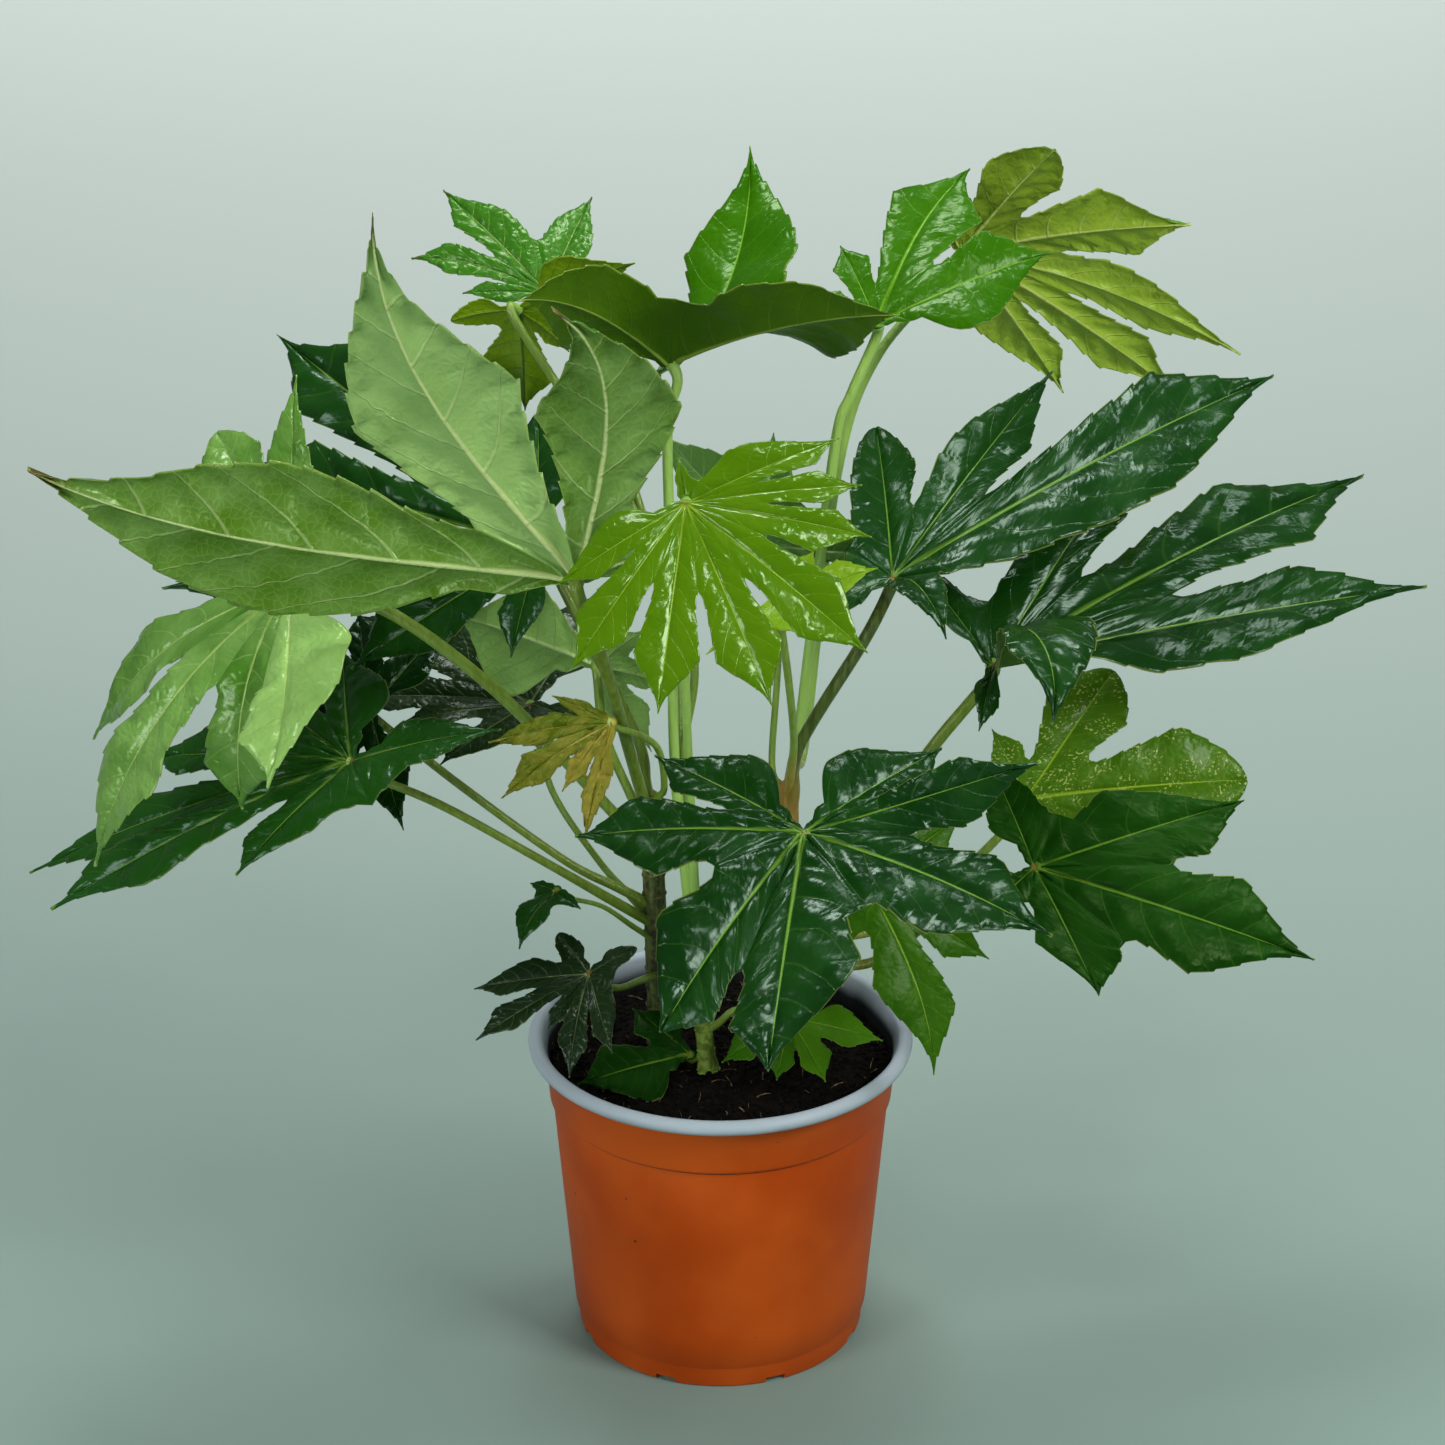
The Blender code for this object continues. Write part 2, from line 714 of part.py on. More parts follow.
def make_leaf(leaf):
    """A thin solid blade, the same triangles on both faces."""
    blade = Blade(leaf)
    made = add_object(leaf.name, mesh_from(leaf.name, blade.points, blade.triangles), leaf.tone)
    made.matrix_world = blade_matrix(leaf)
    solidify = made.modifiers.new("Thickness", "SOLIDIFY")
    solidify.thickness = BLADE_THICKNESS * MM
    solidify.offset = 0.0
    shade(made, 80)
    return made


def smooth_route(points, station):
    """Points along a Catmull-Rom curve through the given ones, about one station apart."""
    points = [Vector(point) for point in points]
    padded = [2 * points[0] - points[1]] + points + [2 * points[-1] - points[-2]]
    route = []
    for before, a, b, after in zip(padded, padded[1:], padded[2:], padded[3:]):
        count = max(1, round((b - a).length / station))
        for k in range(count):
            t = k / count
            bow = 2 * before - 5 * a + 4 * b - after
            swing = 3 * a - before - 3 * b + after
            route.append(a + 0.5 * t * (b - before + t * (bow + t * swing)))
    return route + [points[-1]]


def stalk_route(leaf):
    """The stalk's way from the middle of its stem to just under the blade."""
    normal = blade_matrix(leaf).to_3x3() @ Vector((0, 0, 1))
    hub = Vector(leaf.hub)
    under = BLADE_THICKNESS / 2 + GAP
    seat = hub - normal * (under + STALK_SEAT * leaf.stalk.radius)
    route = smooth_route([leaf.stalk.start, *leaf.stalk.way, seat], STALK_STATION)
    return route + [hub - normal * under]


def make_stalk(leaf):
    """A round stalk as a closed mesh."""
    route = stalk_route(leaf)
    curve = bpy.data.curves.new("stalk_" + leaf.name, "CURVE")
    curve.dimensions = "3D"
    curve.bevel_depth = leaf.stalk.radius * MM
    curve.bevel_resolution = 1
    curve.use_fill_caps = True
    spline = curve.splines.new("POLY")
    spline.points.add(len(route) - 1)
    for k, (point, place) in enumerate(zip(spline.points, route)):
        point.co = (*(place * MM), 1)
        point.radius = STALK_BASE + (1 - STALK_BASE) * min(3 * k / len(route), 1)
    made = add_object(curve.name, curve)
    graph = bpy.context.evaluated_depsgraph_get()
    mesh = bpy.data.meshes.new_from_object(made.evaluated_get(graph))
    bpy.data.objects.remove(made, do_unlink=True)
    return add_object("stalk_" + leaf.name, mesh)


def stem_sections(stem):
    """Centre and radius of the stem's sections from its foot to its rounded top."""
    x, y = stem.foot
    foot = Vector((x, y, SOIL_TOP - STEM_HOLE_DEPTH + GAP))
    collar = Vector((x, y, SOIL_TOP + COLLAR_RISE))
    top = Vector(stem.top)
    up = (top - collar).normalized()
    sections = [(foot, 1.0), (collar, COLLAR_SWELL)]
    sections += [(collar.lerp(top, share), swell) for share, swell in STEM_TAPER]
    sections += [(top, STEM_TOP[0]), (top + up * STEM_ROUNDING * stem.radius, STEM_TOP[1])]
    return [(centre, swell * stem.radius) for centre, swell in sections]


def make_stem(stem, stalks):
    """A woody stem with its stalks, one closed solid."""
    points, faces = [], []
    sections = stem_sections(stem)
    for centre, radius in sections:
        points += [centre + direction(TAU * k / STEM_SIDES) * radius for k in range(STEM_SIDES)]
    for low in range(0, len(points) - STEM_SIDES, STEM_SIDES):
        for k in range(STEM_SIDES):
            after = (k + 1) % STEM_SIDES
            faces.append((low + k, low + after, low + STEM_SIDES + after, low + STEM_SIDES + k))
    faces.append(tuple(reversed(range(STEM_SIDES))))
    faces.append(tuple(range(len(points) - STEM_SIDES, len(points))))
    made = add_object(stem.name, mesh_from(stem.name, points, faces), stem.tone)
    boolean(made, stalks, "UNION")
    shade(made)
    return made


def wall_radius(height):
    """Outer radius of the pot's wall at a height."""
    low, high = FOOT_HEIGHT + FOOT_STEP, POT_HEIGHT - RIM_ROLL_RADIUS * 2
    radius = WALL_FOOT_RADIUS + (WALL_TOP_RADIUS - WALL_FOOT_RADIUS) * (height - low) / (high - low)
    return radius - (STEP_IN if height < POT_HEIGHT - STEP_DOWN else 0)


def pot_profile():
    """The pot's section from the middle of the base, up the outside, over the rim and down the inside."""
    step = POT_HEIGHT - STEP_DOWN
    foot_top = FOOT_HEIGHT + FOOT_STEP
    roll = Vector((RIM_OUTER_RADIUS - RIM_ROLL_RADIUS, POT_HEIGHT - RIM_ROLL_RADIUS))
    outside = [
        (0, 0), (CENTRE_PAD_RADIUS, 0), (CENTRE_PAD_RADIUS + 2, CHANNEL_RISE),
        (CHANNEL_OUTER_RADIUS, CHANNEL_RISE), (CHANNEL_OUTER_RADIUS + 2, 0),
        (FOOT_RADIUS - 1.5, 0), (FOOT_RADIUS, 1.5), (FOOT_RADIUS + 0.8, FOOT_HEIGHT),
        (wall_radius(foot_top), foot_top),
        (wall_radius(step - 1), step - 1), (wall_radius(step + 1), step + 1),
        (WALL_TOP_RADIUS, POT_HEIGHT - 2 * RIM_ROLL_RADIUS),
    ]
    turns = [math.radians(ROLL_FROM + ROLL_SWEEP * k / ROLL_STEPS) for k in range(ROLL_STEPS + 1)]
    rim = [tuple(roll + RIM_ROLL_RADIUS * Vector((math.cos(t), math.sin(t)))) for t in turns]
    inside = [
        (WALL_TOP_RADIUS - WALL, POT_HEIGHT - 2 * RIM_ROLL_RADIUS),
        (wall_radius(step + 1) - WALL, step + 1 - WALL), (wall_radius(step - 1) - WALL, step - 1 - WALL),
        (INNER_FOOT_RADIUS, foot_top), (INNER_FOOT_RADIUS - 1, FLOOR_HEIGHT), (0, FLOOR_HEIGHT),
    ]
    return outside + rim + inside


def revolve(name, profile, sides):
    """A solid of revolution about Z from a profile whose first and last points lie on the axis."""
    shape = bmesh.new()
    points = [shape.verts.new(Vector((r, 0, z)) * MM) for r, z in profile]
    edges = [shape.edges.new(pair) for pair in zip(points, points[1:])]
    bmesh.ops.spin(
        shape, geom=points + edges, cent=(0, 0, 0), axis=(0, 0, 1), angle=TAU, steps=sides, use_merge=True
    )
    bmesh.ops.remove_doubles(shape, verts=shape.verts, dist=0.0001)
    bmesh.ops.recalc_face_normals(shape, faces=shape.faces)
    mesh = bpy.data.meshes.new(name)
    shape.to_mesh(mesh)
    shape.free()
    return mesh


def round_cutter(name, centre, radius, depth, sides):
    """An upright round cutter centred on a point."""
    shape = bmesh.new()
    bmesh.ops.create_cone(
        shape, cap_ends=True, segments=sides, radius1=radius * MM, radius2=radius * MM, depth=depth * MM,
        matrix=Matrix.Translation(Vector(centre) * MM),
    )
    mesh = bpy.data.meshes.new(name)
    shape.to_mesh(mesh)
    shape.free()
    return cutter(name, mesh)


def slot_cutter(turn):
    """A box that cuts one drain slot through the foot ring."""
    shape = bmesh.new()
    reach = FOOT_RADIUS - CHANNEL_OUTER_RADIUS + CUTTER_REACH
    middle = Vector(((FOOT_RADIUS + CHANNEL_OUTER_RADIUS) / 2, 0, 0))
    size = Matrix.Diagonal((reach * MM, SLOT_WIDTH * MM, 2 * SLOT_HEIGHT * MM, 1))
    place = Matrix.Rotation(turn, 4, "Z") @ Matrix.Translation(middle * MM) @ size
    bmesh.ops.create_cube(shape, size=1, matrix=place)
    mesh = bpy.data.meshes.new("slot")
    shape.to_mesh(mesh)
    shape.free()
    return cutter("slot", mesh)


def make_pot():
    """The nursery pot with its rolled rim, its drain slots and its drain holes."""
    made = add_object("pot", revolve("pot", pot_profile(), POT_SIDES), "terracotta")
    cutters = [slot_cutter(TAU * (k + 0.5) / SLOT_COUNT) for k in range(SLOT_COUNT)]
    for k in range(DRAIN_COUNT):
        centre = direction(TAU * k / DRAIN_COUNT) * DRAIN_RING_RADIUS
        cutters.append(round_cutter("drain", centre, DRAIN_RADIUS, CUTTER_HEIGHT, HOLE_SIDES))
    boolean(made, cutters, "DIFFERENCE")
    shade(made)
    return made


def make_soil():
    """The peat that fills the pot, with plain holes for the stems."""
    step = POT_HEIGHT - STEP_DOWN
    outer = wall_radius(SOIL_TOP) - WALL - 2 * GAP
    floor = FLOOR_HEIGHT + GAP
    profile = [
        (0, floor), (INNER_FOOT_RADIUS - 1 - 2 * GAP, floor),
        (INNER_FOOT_RADIUS - 2 * GAP, FOOT_HEIGHT + FOOT_STEP),
        (wall_radius(step - 1) - WALL - 2 * GAP, step - 1), (outer, SOIL_TOP - 2),
    ]
    for k in range(SOIL_RINGS + 1):
        share = 1 - k / SOIL_RINGS
        profile.append((outer * share * SOIL_EDGE, SOIL_TOP + SOIL_MOUND * (1 - share * share)))
    made = add_object("soil", revolve("soil", profile, POT_SIDES), "peat")
    holes = []
    for stem in STEMS:
        depth = STEM_HOLE_DEPTH + CUTTER_HEIGHT
        centre = (*stem.foot, SOIL_TOP - STEM_HOLE_DEPTH + depth / 2)
        radius = stem.radius * COLLAR_SWELL + GAP
        holes.append(round_cutter("hole_" + stem.name, centre, radius, depth, HOLE_SIDES))
    boolean(made, holes, "DIFFERENCE")
    shade(made)
    return made


def main():
    """Clears the scene and makes every piece of the plant."""
    for old in list(bpy.data.objects):
        bpy.data.objects.remove(old, do_unlink=True)
    plant = add_object("plant", None)
    pieces = [make_pot(), make_soil()]
    for stem in STEMS:
        stalks = [make_stalk(leaf) for leaf in LEAVES if leaf.stalk.stem == stem.name]
        pieces.append(make_stem(stem, stalks))
    pieces += [make_leaf(leaf) for leaf in LEAVES]
    for piece in pieces:
        piece.parent = plant


main()
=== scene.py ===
"""Fatsia japonica in a 19 cm nursery pot: the fine model that dresses the CAD frame.

Sizes are millimetres, as in the part's own source, until a mesh is made. The pot, the soil, the woody
stems with their leaf stalks and every palmate blade are built here as fine pieces that keep the form of the
solids that they stand for.
"""

import logging
import math
from dataclasses import dataclass, field
from enum import Enum

import bmesh
import bpy
from bpy.types import ID, Material, Mesh, Node, NodeSocket, Object
from mathutils import Matrix, Vector, noise


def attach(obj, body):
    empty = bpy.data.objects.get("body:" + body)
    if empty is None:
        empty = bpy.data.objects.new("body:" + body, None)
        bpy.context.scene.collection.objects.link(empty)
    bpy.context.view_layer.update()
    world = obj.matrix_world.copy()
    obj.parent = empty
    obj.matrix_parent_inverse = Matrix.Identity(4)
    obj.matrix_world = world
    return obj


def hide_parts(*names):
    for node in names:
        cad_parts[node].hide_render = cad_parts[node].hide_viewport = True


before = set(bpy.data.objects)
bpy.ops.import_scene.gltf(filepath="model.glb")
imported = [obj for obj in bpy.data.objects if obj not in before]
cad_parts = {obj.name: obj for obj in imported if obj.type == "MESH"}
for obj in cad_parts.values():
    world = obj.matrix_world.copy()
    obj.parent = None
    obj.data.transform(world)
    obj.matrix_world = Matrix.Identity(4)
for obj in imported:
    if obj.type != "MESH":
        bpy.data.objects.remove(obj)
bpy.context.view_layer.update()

LOG = logging.getLogger("fatsia")
MM = 0.001
TAU = 2 * math.pi
Colour = tuple[float, float, float]
Triple = tuple[float, float, float]
Corner = tuple[int, float, float]  # a point's number with its place across and along its lobe
Station = tuple[Vector, float, float, float, float]  # a point with its radius, wood, sheath and tint

# lateral veins, for their colour and for the quilting between them
VEIN_LEAVE = 0.13  # how far they run forward beside the rib, as a share of the lobe's length
VEIN_SWEEP = 0.17  # and how much further towards the edge
VEIN_OFFSET = 0.45  # of their spacing, between the two sides of a rib

# shared with the solids
PAD_RADIUS = 4.0  # flat disc over the end of the stalk
FOLD = 12.0  # rise of each half of a lobe beside its rib, in degrees
CURL = 12.0  # turn back down towards the edge, in degrees
PEAK = 0.3  # where a lobe is widest, as a share of its length past the sinus
TAPER = 0.9
BLUNT = 0.3  # taper of a lobe with a round end
CLEARANCE = 0.16  # share of the room between two lobes that stays open
OPENING = 0.15  # share of a lobe past the sinus over which that room opens
SETTLING = 0.3  # share over which an edge that starts in a sinus finds its own curve
NECK_LEAST = 0.8  # a lobe stays this wide beside its sinus, as a share of its neck
WIDEST_SINUS = 1.2  # radians
FREE_BASE = 0.12  # share of a lobe over which a free edge leaves the pad
FREE_LEAST = 0.35
FREE_PAD = 0.8
PAD_CORNER = math.radians(50)
NARROW_PAD = 0.3  # radians between the last lobe and the first that leave room for one corner only
STALK_SEAT = 3.5  # length of the last stretch, square to the blade, in stalk radii
STALK_BASE = 1.25  # swelling where a stalk leaves its stem
COLLAR_SWELL = 1.25
COLLAR_RISE = 3.0

# finer than the solids
RIB_FADE = 0.75  # share of its strength that a midrib loses towards the tip
RIB_HALF = 0.11  # half width of its rise, as a share of the lobe's half width
TOOTH_MIDDLE = 0.3  # height of a tooth that lies on the smooth edge
TOOTH_MOST = 0.3  # deepest tooth, as a share of the lobe's half width there
LEAST_REACH = 0.01  # an edge nearer to its midrib than this gets no teeth
TOOTH_TIP = 0.9  # above this height an edge point takes the pale colour of a tooth's tip
WAVE_BASE, WAVE_GROWTH = 7.0, 2.2  # length of the edge's waves, and its growth with the pitch of the teeth
WAVE_LOBE, WAVE_SIDE = 0.37, 0.21  # of a wave, from lobe to lobe and from side to side
SEAM_ARCH = 0.03  # rise of the blade between the pad and a notch, as a share of that length
SMALL_SIZE, SMALL_SHARE = 0.13, 0.3  # the smaller puckers: to a millimetre, and as a share of the others
CM = 10.0
LOBES_APART = 50.0  # centimetres between the patterns of two lobes


class Tone(Enum):
    """The leaf finishes, named by their slots in the record, where light green takes the bright slot."""

    PALE = "leaf_pale"
    DARK = "leaf_dark"
    YELLOW = "leaf_yellow"
    BRIGHT = "leaf_bright"
    YOUNG = "leaf_young"
    LIGHT = "leaf_light"
    SHADE = "leaf_shade"
    GREY = "leaf_grey"
    MOTTLED = "leaf_mottled"
    MID = "leaf_mid"
    WITHERED = "leaf_withered"


@dataclass(frozen=True)
class Lobe:
    """One finger of a blade, in degrees and millimetres, with its turn from the middle line."""

    turn: float
    length: float
    lift: float = 10.0
    droop: float = 20.0
    width: float = 1.0
    bend: float = 0.0
    twist: float = 0.0
    web: float = 0.42  # depth of the sinus after this lobe, as a share of the shorter neighbour
    peak: float = PEAK
    taper: float = TAPER


@dataclass(frozen=True)
class Stalk:
    """The stalk of one blade: the stem that it grows from and the points that it passes."""

    stem: str
    start: Triple
    way: tuple[Triple, ...] = ()
    radius: float = 2.4


@dataclass(frozen=True)
class Leaf:
    """One palmate blade: its hub, how its face leans, the turn of its middle line, and its lobes."""

    name: str
    tone: Tone
    hub: Triple
    lean: float
    toward: float
    heading: float
    width: float
    lobes: tuple[Lobe, ...]
    stalk: Stalk
    room: float = 1.0

    @property
    def matrix(self) -> Matrix:
        """Takes the blade from its own flat frame, in millimetres, to its place in the plant."""
        lean = Matrix.Rotation(math.radians(self.lean), 4, direction(math.radians(self.toward + 90)))
        turn = Matrix.Rotation(math.radians(self.heading), 4, "Z")
        return Matrix.Translation(Vector(self.hub)) @ lean @ turn


LEAVES = (
    Leaf(
        "leaf_upright_left", Tone.PALE, (-65, -60, 426), 76, 95, -85, 0.165,
        (Lobe(-86, 248, bend=12, web=0.23, peak=0.45, taper=0.8),
         Lobe(-38, 209, width=1.15, bend=14, web=0.13, taper=1.0),
         Lobe(14, 158, 18, 50, width=1.4, bend=-18, web=0.3, taper=1.0), Lobe(70, 95, 10, 30)),
        Stalk("stem_left", (-34, 12, 270), ((-39, 0, 295), (-55, -45, 383)), 3.0),
    ),
    Leaf(
        "leaf_dark_behind", Tone.DARK, (-85, 14, 412), 50, -110, 150, 0.22,
        (Lobe(-66, 70), Lobe(-42, 120), Lobe(-19, 180, width=1.2), Lobe(3, 160), Lobe(24, 188),
         Lobe(50, 105, 5), Lobe(95, 50, 0)),
        Stalk("stem_left", (-34, 12, 275), ((-40, 13, 314), (-66, 15, 372)), 2.6),
    ),
    Leaf(
        "leaf_yellow_top", Tone.YELLOW, (-96, 80, 508), 65, 80, 90, 0.26,
        (Lobe(-130, 65), Lobe(-50, 30, 15, 30), Lobe(-6, 64, width=1.5), Lobe(72, 30, 5, 30, taper=BLUNT)),
        Stalk("stem_middle", (-12, -8, 195), ((-18, 8, 305), (-14, 28, 358), (-50, 62, 429)), 2.1),
    ),
    Leaf(
        "leaf_small_top", Tone.PALE, (-83, 100, 510), 40, -100, 140, 0.2,
        (Lobe(-70, 60, 0), Lobe(-12, 78, width=0.9), Lobe(10, 68, bend=8), Lobe(34, 38, width=0.9)),
        Stalk("stem_middle", (-11, -9, 198), ((-18, 15, 302), (-22, 42, 354), (-50, 74, 446)), 2.1),
    ),
    Leaf(
        "leaf_top_middle", Tone.BRIGHT, (-23, 50, 491), 38, 120, -90, 0.22,
        (Lobe(-33, 104, 42, 50, twist=60), Lobe(55, 131, -4, width=1.1, twist=-60),
         Lobe(134, 145, 30, -40, twist=60), Lobe(180, 50, 40), Lobe(205, 51, 11, width=1.3)),
        Stalk("stem_middle", (-12, -8, 200), ((-22, 0, 309), (-23, 20, 383), (-25, 40, 460)), 2.5),
    ),
    Leaf(
        "leaf_top_right", Tone.BRIGHT, (74, 60, 508), 30, -90, 60, 0.24,
        (Lobe(-32, 92, width=1.2, twist=20), Lobe(12, 104, 3, 3, width=1.5, bend=-8),
         Lobe(50, 45, 15, width=1.2), Lobe(88, 30, width=1.2)),
        Stalk(
            "stem_right", (33, 12, 286), ((38, 25, 312), (44, 35, 362), (55, 50, 453), (62, 55, 474)), 2.6,
        ),
    ),
    Leaf(
        "leaf_far_right", Tone.PALE, (119, 150, 515), 72, 90, -90, 0.2,
        (Lobe(-30, 45, 0), Lobe(35, 69, width=1.5, taper=BLUNT), Lobe(82, 109, width=1.2),
         Lobe(111, 150, 15, 40, width=0.5), Lobe(128, 138, width=0.9), Lobe(148, 100)),
        Stalk("stem_right", (33, 13, 288), ((42, 50, 300), (57, 88, 422), (77, 104, 478)), 2.4),
    ),
    Leaf(
        "leaf_young_centre", Tone.YOUNG, (-15, -110, 483), 50, -90, -80, 0.19,
        (Lobe(-66, 64), Lobe(-43, 87, peak=0.4), Lobe(-17, 93, peak=0.4), Lobe(12, 96, peak=0.4),
         Lobe(39, 101, peak=0.4), Lobe(69, 79), Lobe(86, 74, width=0.8), Lobe(104, 70),
         Lobe(180, 16, 34)),
        Stalk("stem_middle", (-11, -10, 202), ((-15, -30, 321), (-16, -40, 358), (-17, -60, 416)), 2.2),
    ),
    Leaf(
        "leaf_front", Tone.DARK, (38, -100, 318), 30, -90, -90, 0.28,
        (Lobe(-122, 77), Lobe(-89, 101, 12, 25),
         Lobe(-33, 117, 12, 35, width=1.1, web=0.66, peak=0.12, taper=0.6),
         Lobe(-8, 120, 13, 35, width=1.1, web=0.4, peak=0.15, taper=0.7),
         Lobe(66, 120, 10, 30, width=0.9, taper=1.0), Lobe(102, 109, 13, 0, width=0.6, twist=70),
         Lobe(126, 76, width=1.1)),
        Stalk("stem_middle", (-10, -12, 180), ((1, -30, 203), (23, -60, 264)), 2.6),
    ),
    Leaf(
        "leaf_drooping_left", Tone.LIGHT, (-201, -4, 400), 30, -120, 180, 0.17,
        (Lobe(-71, 87, 31, width=1.4, taper=BLUNT), Lobe(-101, 100, 38, width=0.7),
         Lobe(-23, 63, 4, width=0.8), Lobe(13, 129, 8, 60), Lobe(35, 167, 4, 60, web=0.5),
         Lobe(62, 112, 7, 80, width=1.7, web=0.5), Lobe(91, 110, 12, 35, width=1.7, bend=-8)),
        Stalk("stem_left", (-34, 12, 255), ((-52, 6, 278), (-106, -18, 353), (-159, -24, 398)), 2.9),
    ),
    Leaf(
        "leaf_low_left", Tone.DARK, (-175, -20, 317), 35, -130, 200, 0.2,
        (Lobe(-109, 67, width=1.8), Lobe(-72, 78, width=1.3), Lobe(-42, 114),
         Lobe(-24, 181, 4, width=0.5), Lobe(-9, 159), Lobe(17, 73, width=1.3), Lobe(160, 70, 0)),
        Stalk("stem_left", (-34, 12, 215), ((-88, -8, 260), (-134, -15, 292)), 2.1),
    ),
    Leaf(
        "leaf_glossy_left", Tone.DARK, (-169, 25, 323), 40, -110, 170, 0.22,
        (Lobe(-120, 60, 0), Lobe(-76, 53), Lobe(-50, 54), Lobe(-10, 35), Lobe(67, 36), Lobe(110, 60, 0)),
        Stalk("stem_left", (-34, 12, 225), ((-76, 12, 249), (-126, 15, 288)), 2.1),
    ),
    Leaf(
        "leaf_back_left", Tone.SHADE, (-93, 50, 316), 30, -110, 180, 0.2,
        (Lobe(-120, 90, 0), Lobe(-39, 112), Lobe(-12, 90), Lobe(8, 60, 20), Lobe(30, 50, 5, width=1.3),
         Lobe(150, 30, 0)),
        Stalk("stem_left", (-33, 13, 215), ((-60, 28, 241), (-83, 40, 274)), 1.7),
    ),
    Leaf(
        "leaf_inner_left", Tone.GREY, (-60, 30, 345), 80, 95, -90, 0.22,
        (Lobe(-60, 72, width=2.3), Lobe(50, 28, 0), Lobe(110, 34, 0), Lobe(155, 50, 0)),
        Stalk("stem_left", (-34, 13, 262), ((-44, 13, 285), (-56, 17, 315)), 2.3),
    ),
    Leaf(
        "leaf_right_upper", Tone.DARK, (81, 0, 403), 35, -80, 40, 0.14,
        (Lobe(-100, 56, 82, 130, width=1.4), Lobe(-4, 228, width=1.05, peak=0.5, taper=0.8),
         Lobe(18, 141, 14, width=0.9, twist=50), Lobe(56, 82, width=1.5, taper=BLUNT),
         Lobe(170, 50, 5, 30)),
        Stalk("stem_right", (33, 12, 268), ((38, 5, 314), (68, 0, 371)), 3.0),
    ),
    Leaf(
        "leaf_right_middle", Tone.DARK, (130, 10, 354), 25, -70, 10, 0.13,
        (Lobe(-110, 50, 20), Lobe(-76, 112, 105, 150, width=2.0, bend=-10), Lobe(12, 234, 5, 10),
         Lobe(30, 250, width=1.1), Lobe(52, 150, 25, width=0.9), Lobe(120, 70, 20)),
        Stalk("stem_right", (34, 12, 235), ((73, 10, 266), (103, 8, 313)), 3.0),
    ),
    Leaf(
        "leaf_mottled_right", Tone.MOTTLED, (150, 30, 274), 50, -90, 20, 0.2,
        (Lobe(-60, 60, 0), Lobe(-15, 105, width=1.5, taper=BLUNT), Lobe(36, 75, width=1.5, taper=BLUNT),
         Lobe(95, 35, width=1.4)),
        Stalk("stem_right", (34, 12, 200), ((89, 20, 212), (130, 25, 248)), 2.3),
    ),
    Leaf(
        "leaf_low_right", Tone.DARK, (149, -40, 271), 50, -90, 0, 0.24,
        (Lobe(-137, 32, width=1.7), Lobe(-65, 65, width=1.2, web=0.8, peak=0.15),
         Lobe(-19, 135, web=0.6, peak=0.15), Lobe(18, 102, peak=0.15, taper=0.8), Lobe(110, 55, 0)),
        Stalk("stem_right", (34, 11, 190), ((78, 0, 201), (115, -20, 244)), 2.4),
    ),
    Leaf(
        "leaf_hanging_right", Tone.MID, (70, -40, 263), 60, -80, -50, 0.2,
        (Lobe(-70, 45, 0), Lobe(-8, 93, width=1.1, bend=-8), Lobe(24, 66, 6), Lobe(90, 55, 0)),
        Stalk("stem_right", (34, 9, 180), ((53, -10, 211),), 2.1),
    ),
    Leaf(
        "leaf_small_rim", Tone.SHADE, (-63, -45, 217), 35, -110, 200, 0.2,
        (Lobe(-80, 24, width=1.2, taper=BLUNT), Lobe(-18, 52, 15), Lobe(6, 59), Lobe(30, 30, 5),
         Lobe(58, 53, 20, 40), Lobe(82, 43, 20, 40), Lobe(182, 22, width=1.2, taper=BLUNT)),
        Stalk("stem_left", (-31, 14, 185), ((-50, -28, 200),), 1.6),
    ),
    Leaf(
        "leaf_on_soil", Tone.DARK, (-15, -15, 156), 25, -90, -170, 0.26,
        (Lobe(-54, 36, width=1.3), Lobe(9, 54, width=1.7)),
        Stalk("stem_middle", (-7, -16, 158), (), 1.5),
    ),
    Leaf(
        "leaf_in_pot", Tone.MID, (34, -20, 179), 30, -90, -90, 0.27,
        (Lobe(-53, 38, width=1.1), Lobe(-11, 32), Lobe(25, 36), Lobe(74, 43)),
        Stalk("stem_middle", (-8, -14, 168), ((10, -20, 184),), 1.6),
    ),
    Leaf(
        "leaf_small_yellow", Tone.YELLOW, (27, -40, 408), 40, -90, -30, 0.2,
        (Lobe(-110, 40), Lobe(50, 45, width=1.2), Lobe(90, 30, 0), Lobe(155, 16)),
        Stalk("stem_right", (33, 10, 284), ((35, -5, 322), (32, -20, 359)), 1.9),
    ),
    Leaf(
        "leaf_grey_centre", Tone.GREY, (22, 60, 395), 55, -90, 90, 0.22,
        (Lobe(-120, 47), Lobe(-96, 74), Lobe(-4, 53), Lobe(43, 73)),
        Stalk("stem_right", (32, 14, 280), ((25, 25, 296), (28, 40, 354)), 1.7),
    ),
    Leaf(
        "leaf_withered", Tone.WITHERED, (-51, -37, 345), 50, -90, 180, 0.16,
        (Lobe(-25, 27, 15, 30, width=0.8), Lobe(10, 56, 30, 60, width=0.8), Lobe(36, 62, 35, 70),
         Lobe(58, 40, 37, 50, width=0.8), Lobe(78, 56, 25, 60, width=0.7)),
        Stalk("stem_left", (-34, 11, 280), ((-27, 0, 294), (-31, -10, 321)), 1.7),
    ),
    Leaf(
        "leaf_sliver", Tone.DARK, (-79, -25, 251), 30, -130, 200, 0.2,
        (Lobe(-60, 14, 0), Lobe(37, 34, 35, 70, width=1.4), Lobe(110, 14, 0)),
        Stalk("stem_left", (-33, 13, 205), ((-58, -15, 238),), 1.2),
    ),
)


def direction(turn: float) -> Vector:
    """Unit vector in the level plane at a turn in radians."""
    return Vector((math.cos(turn), math.sin(turn), 0))


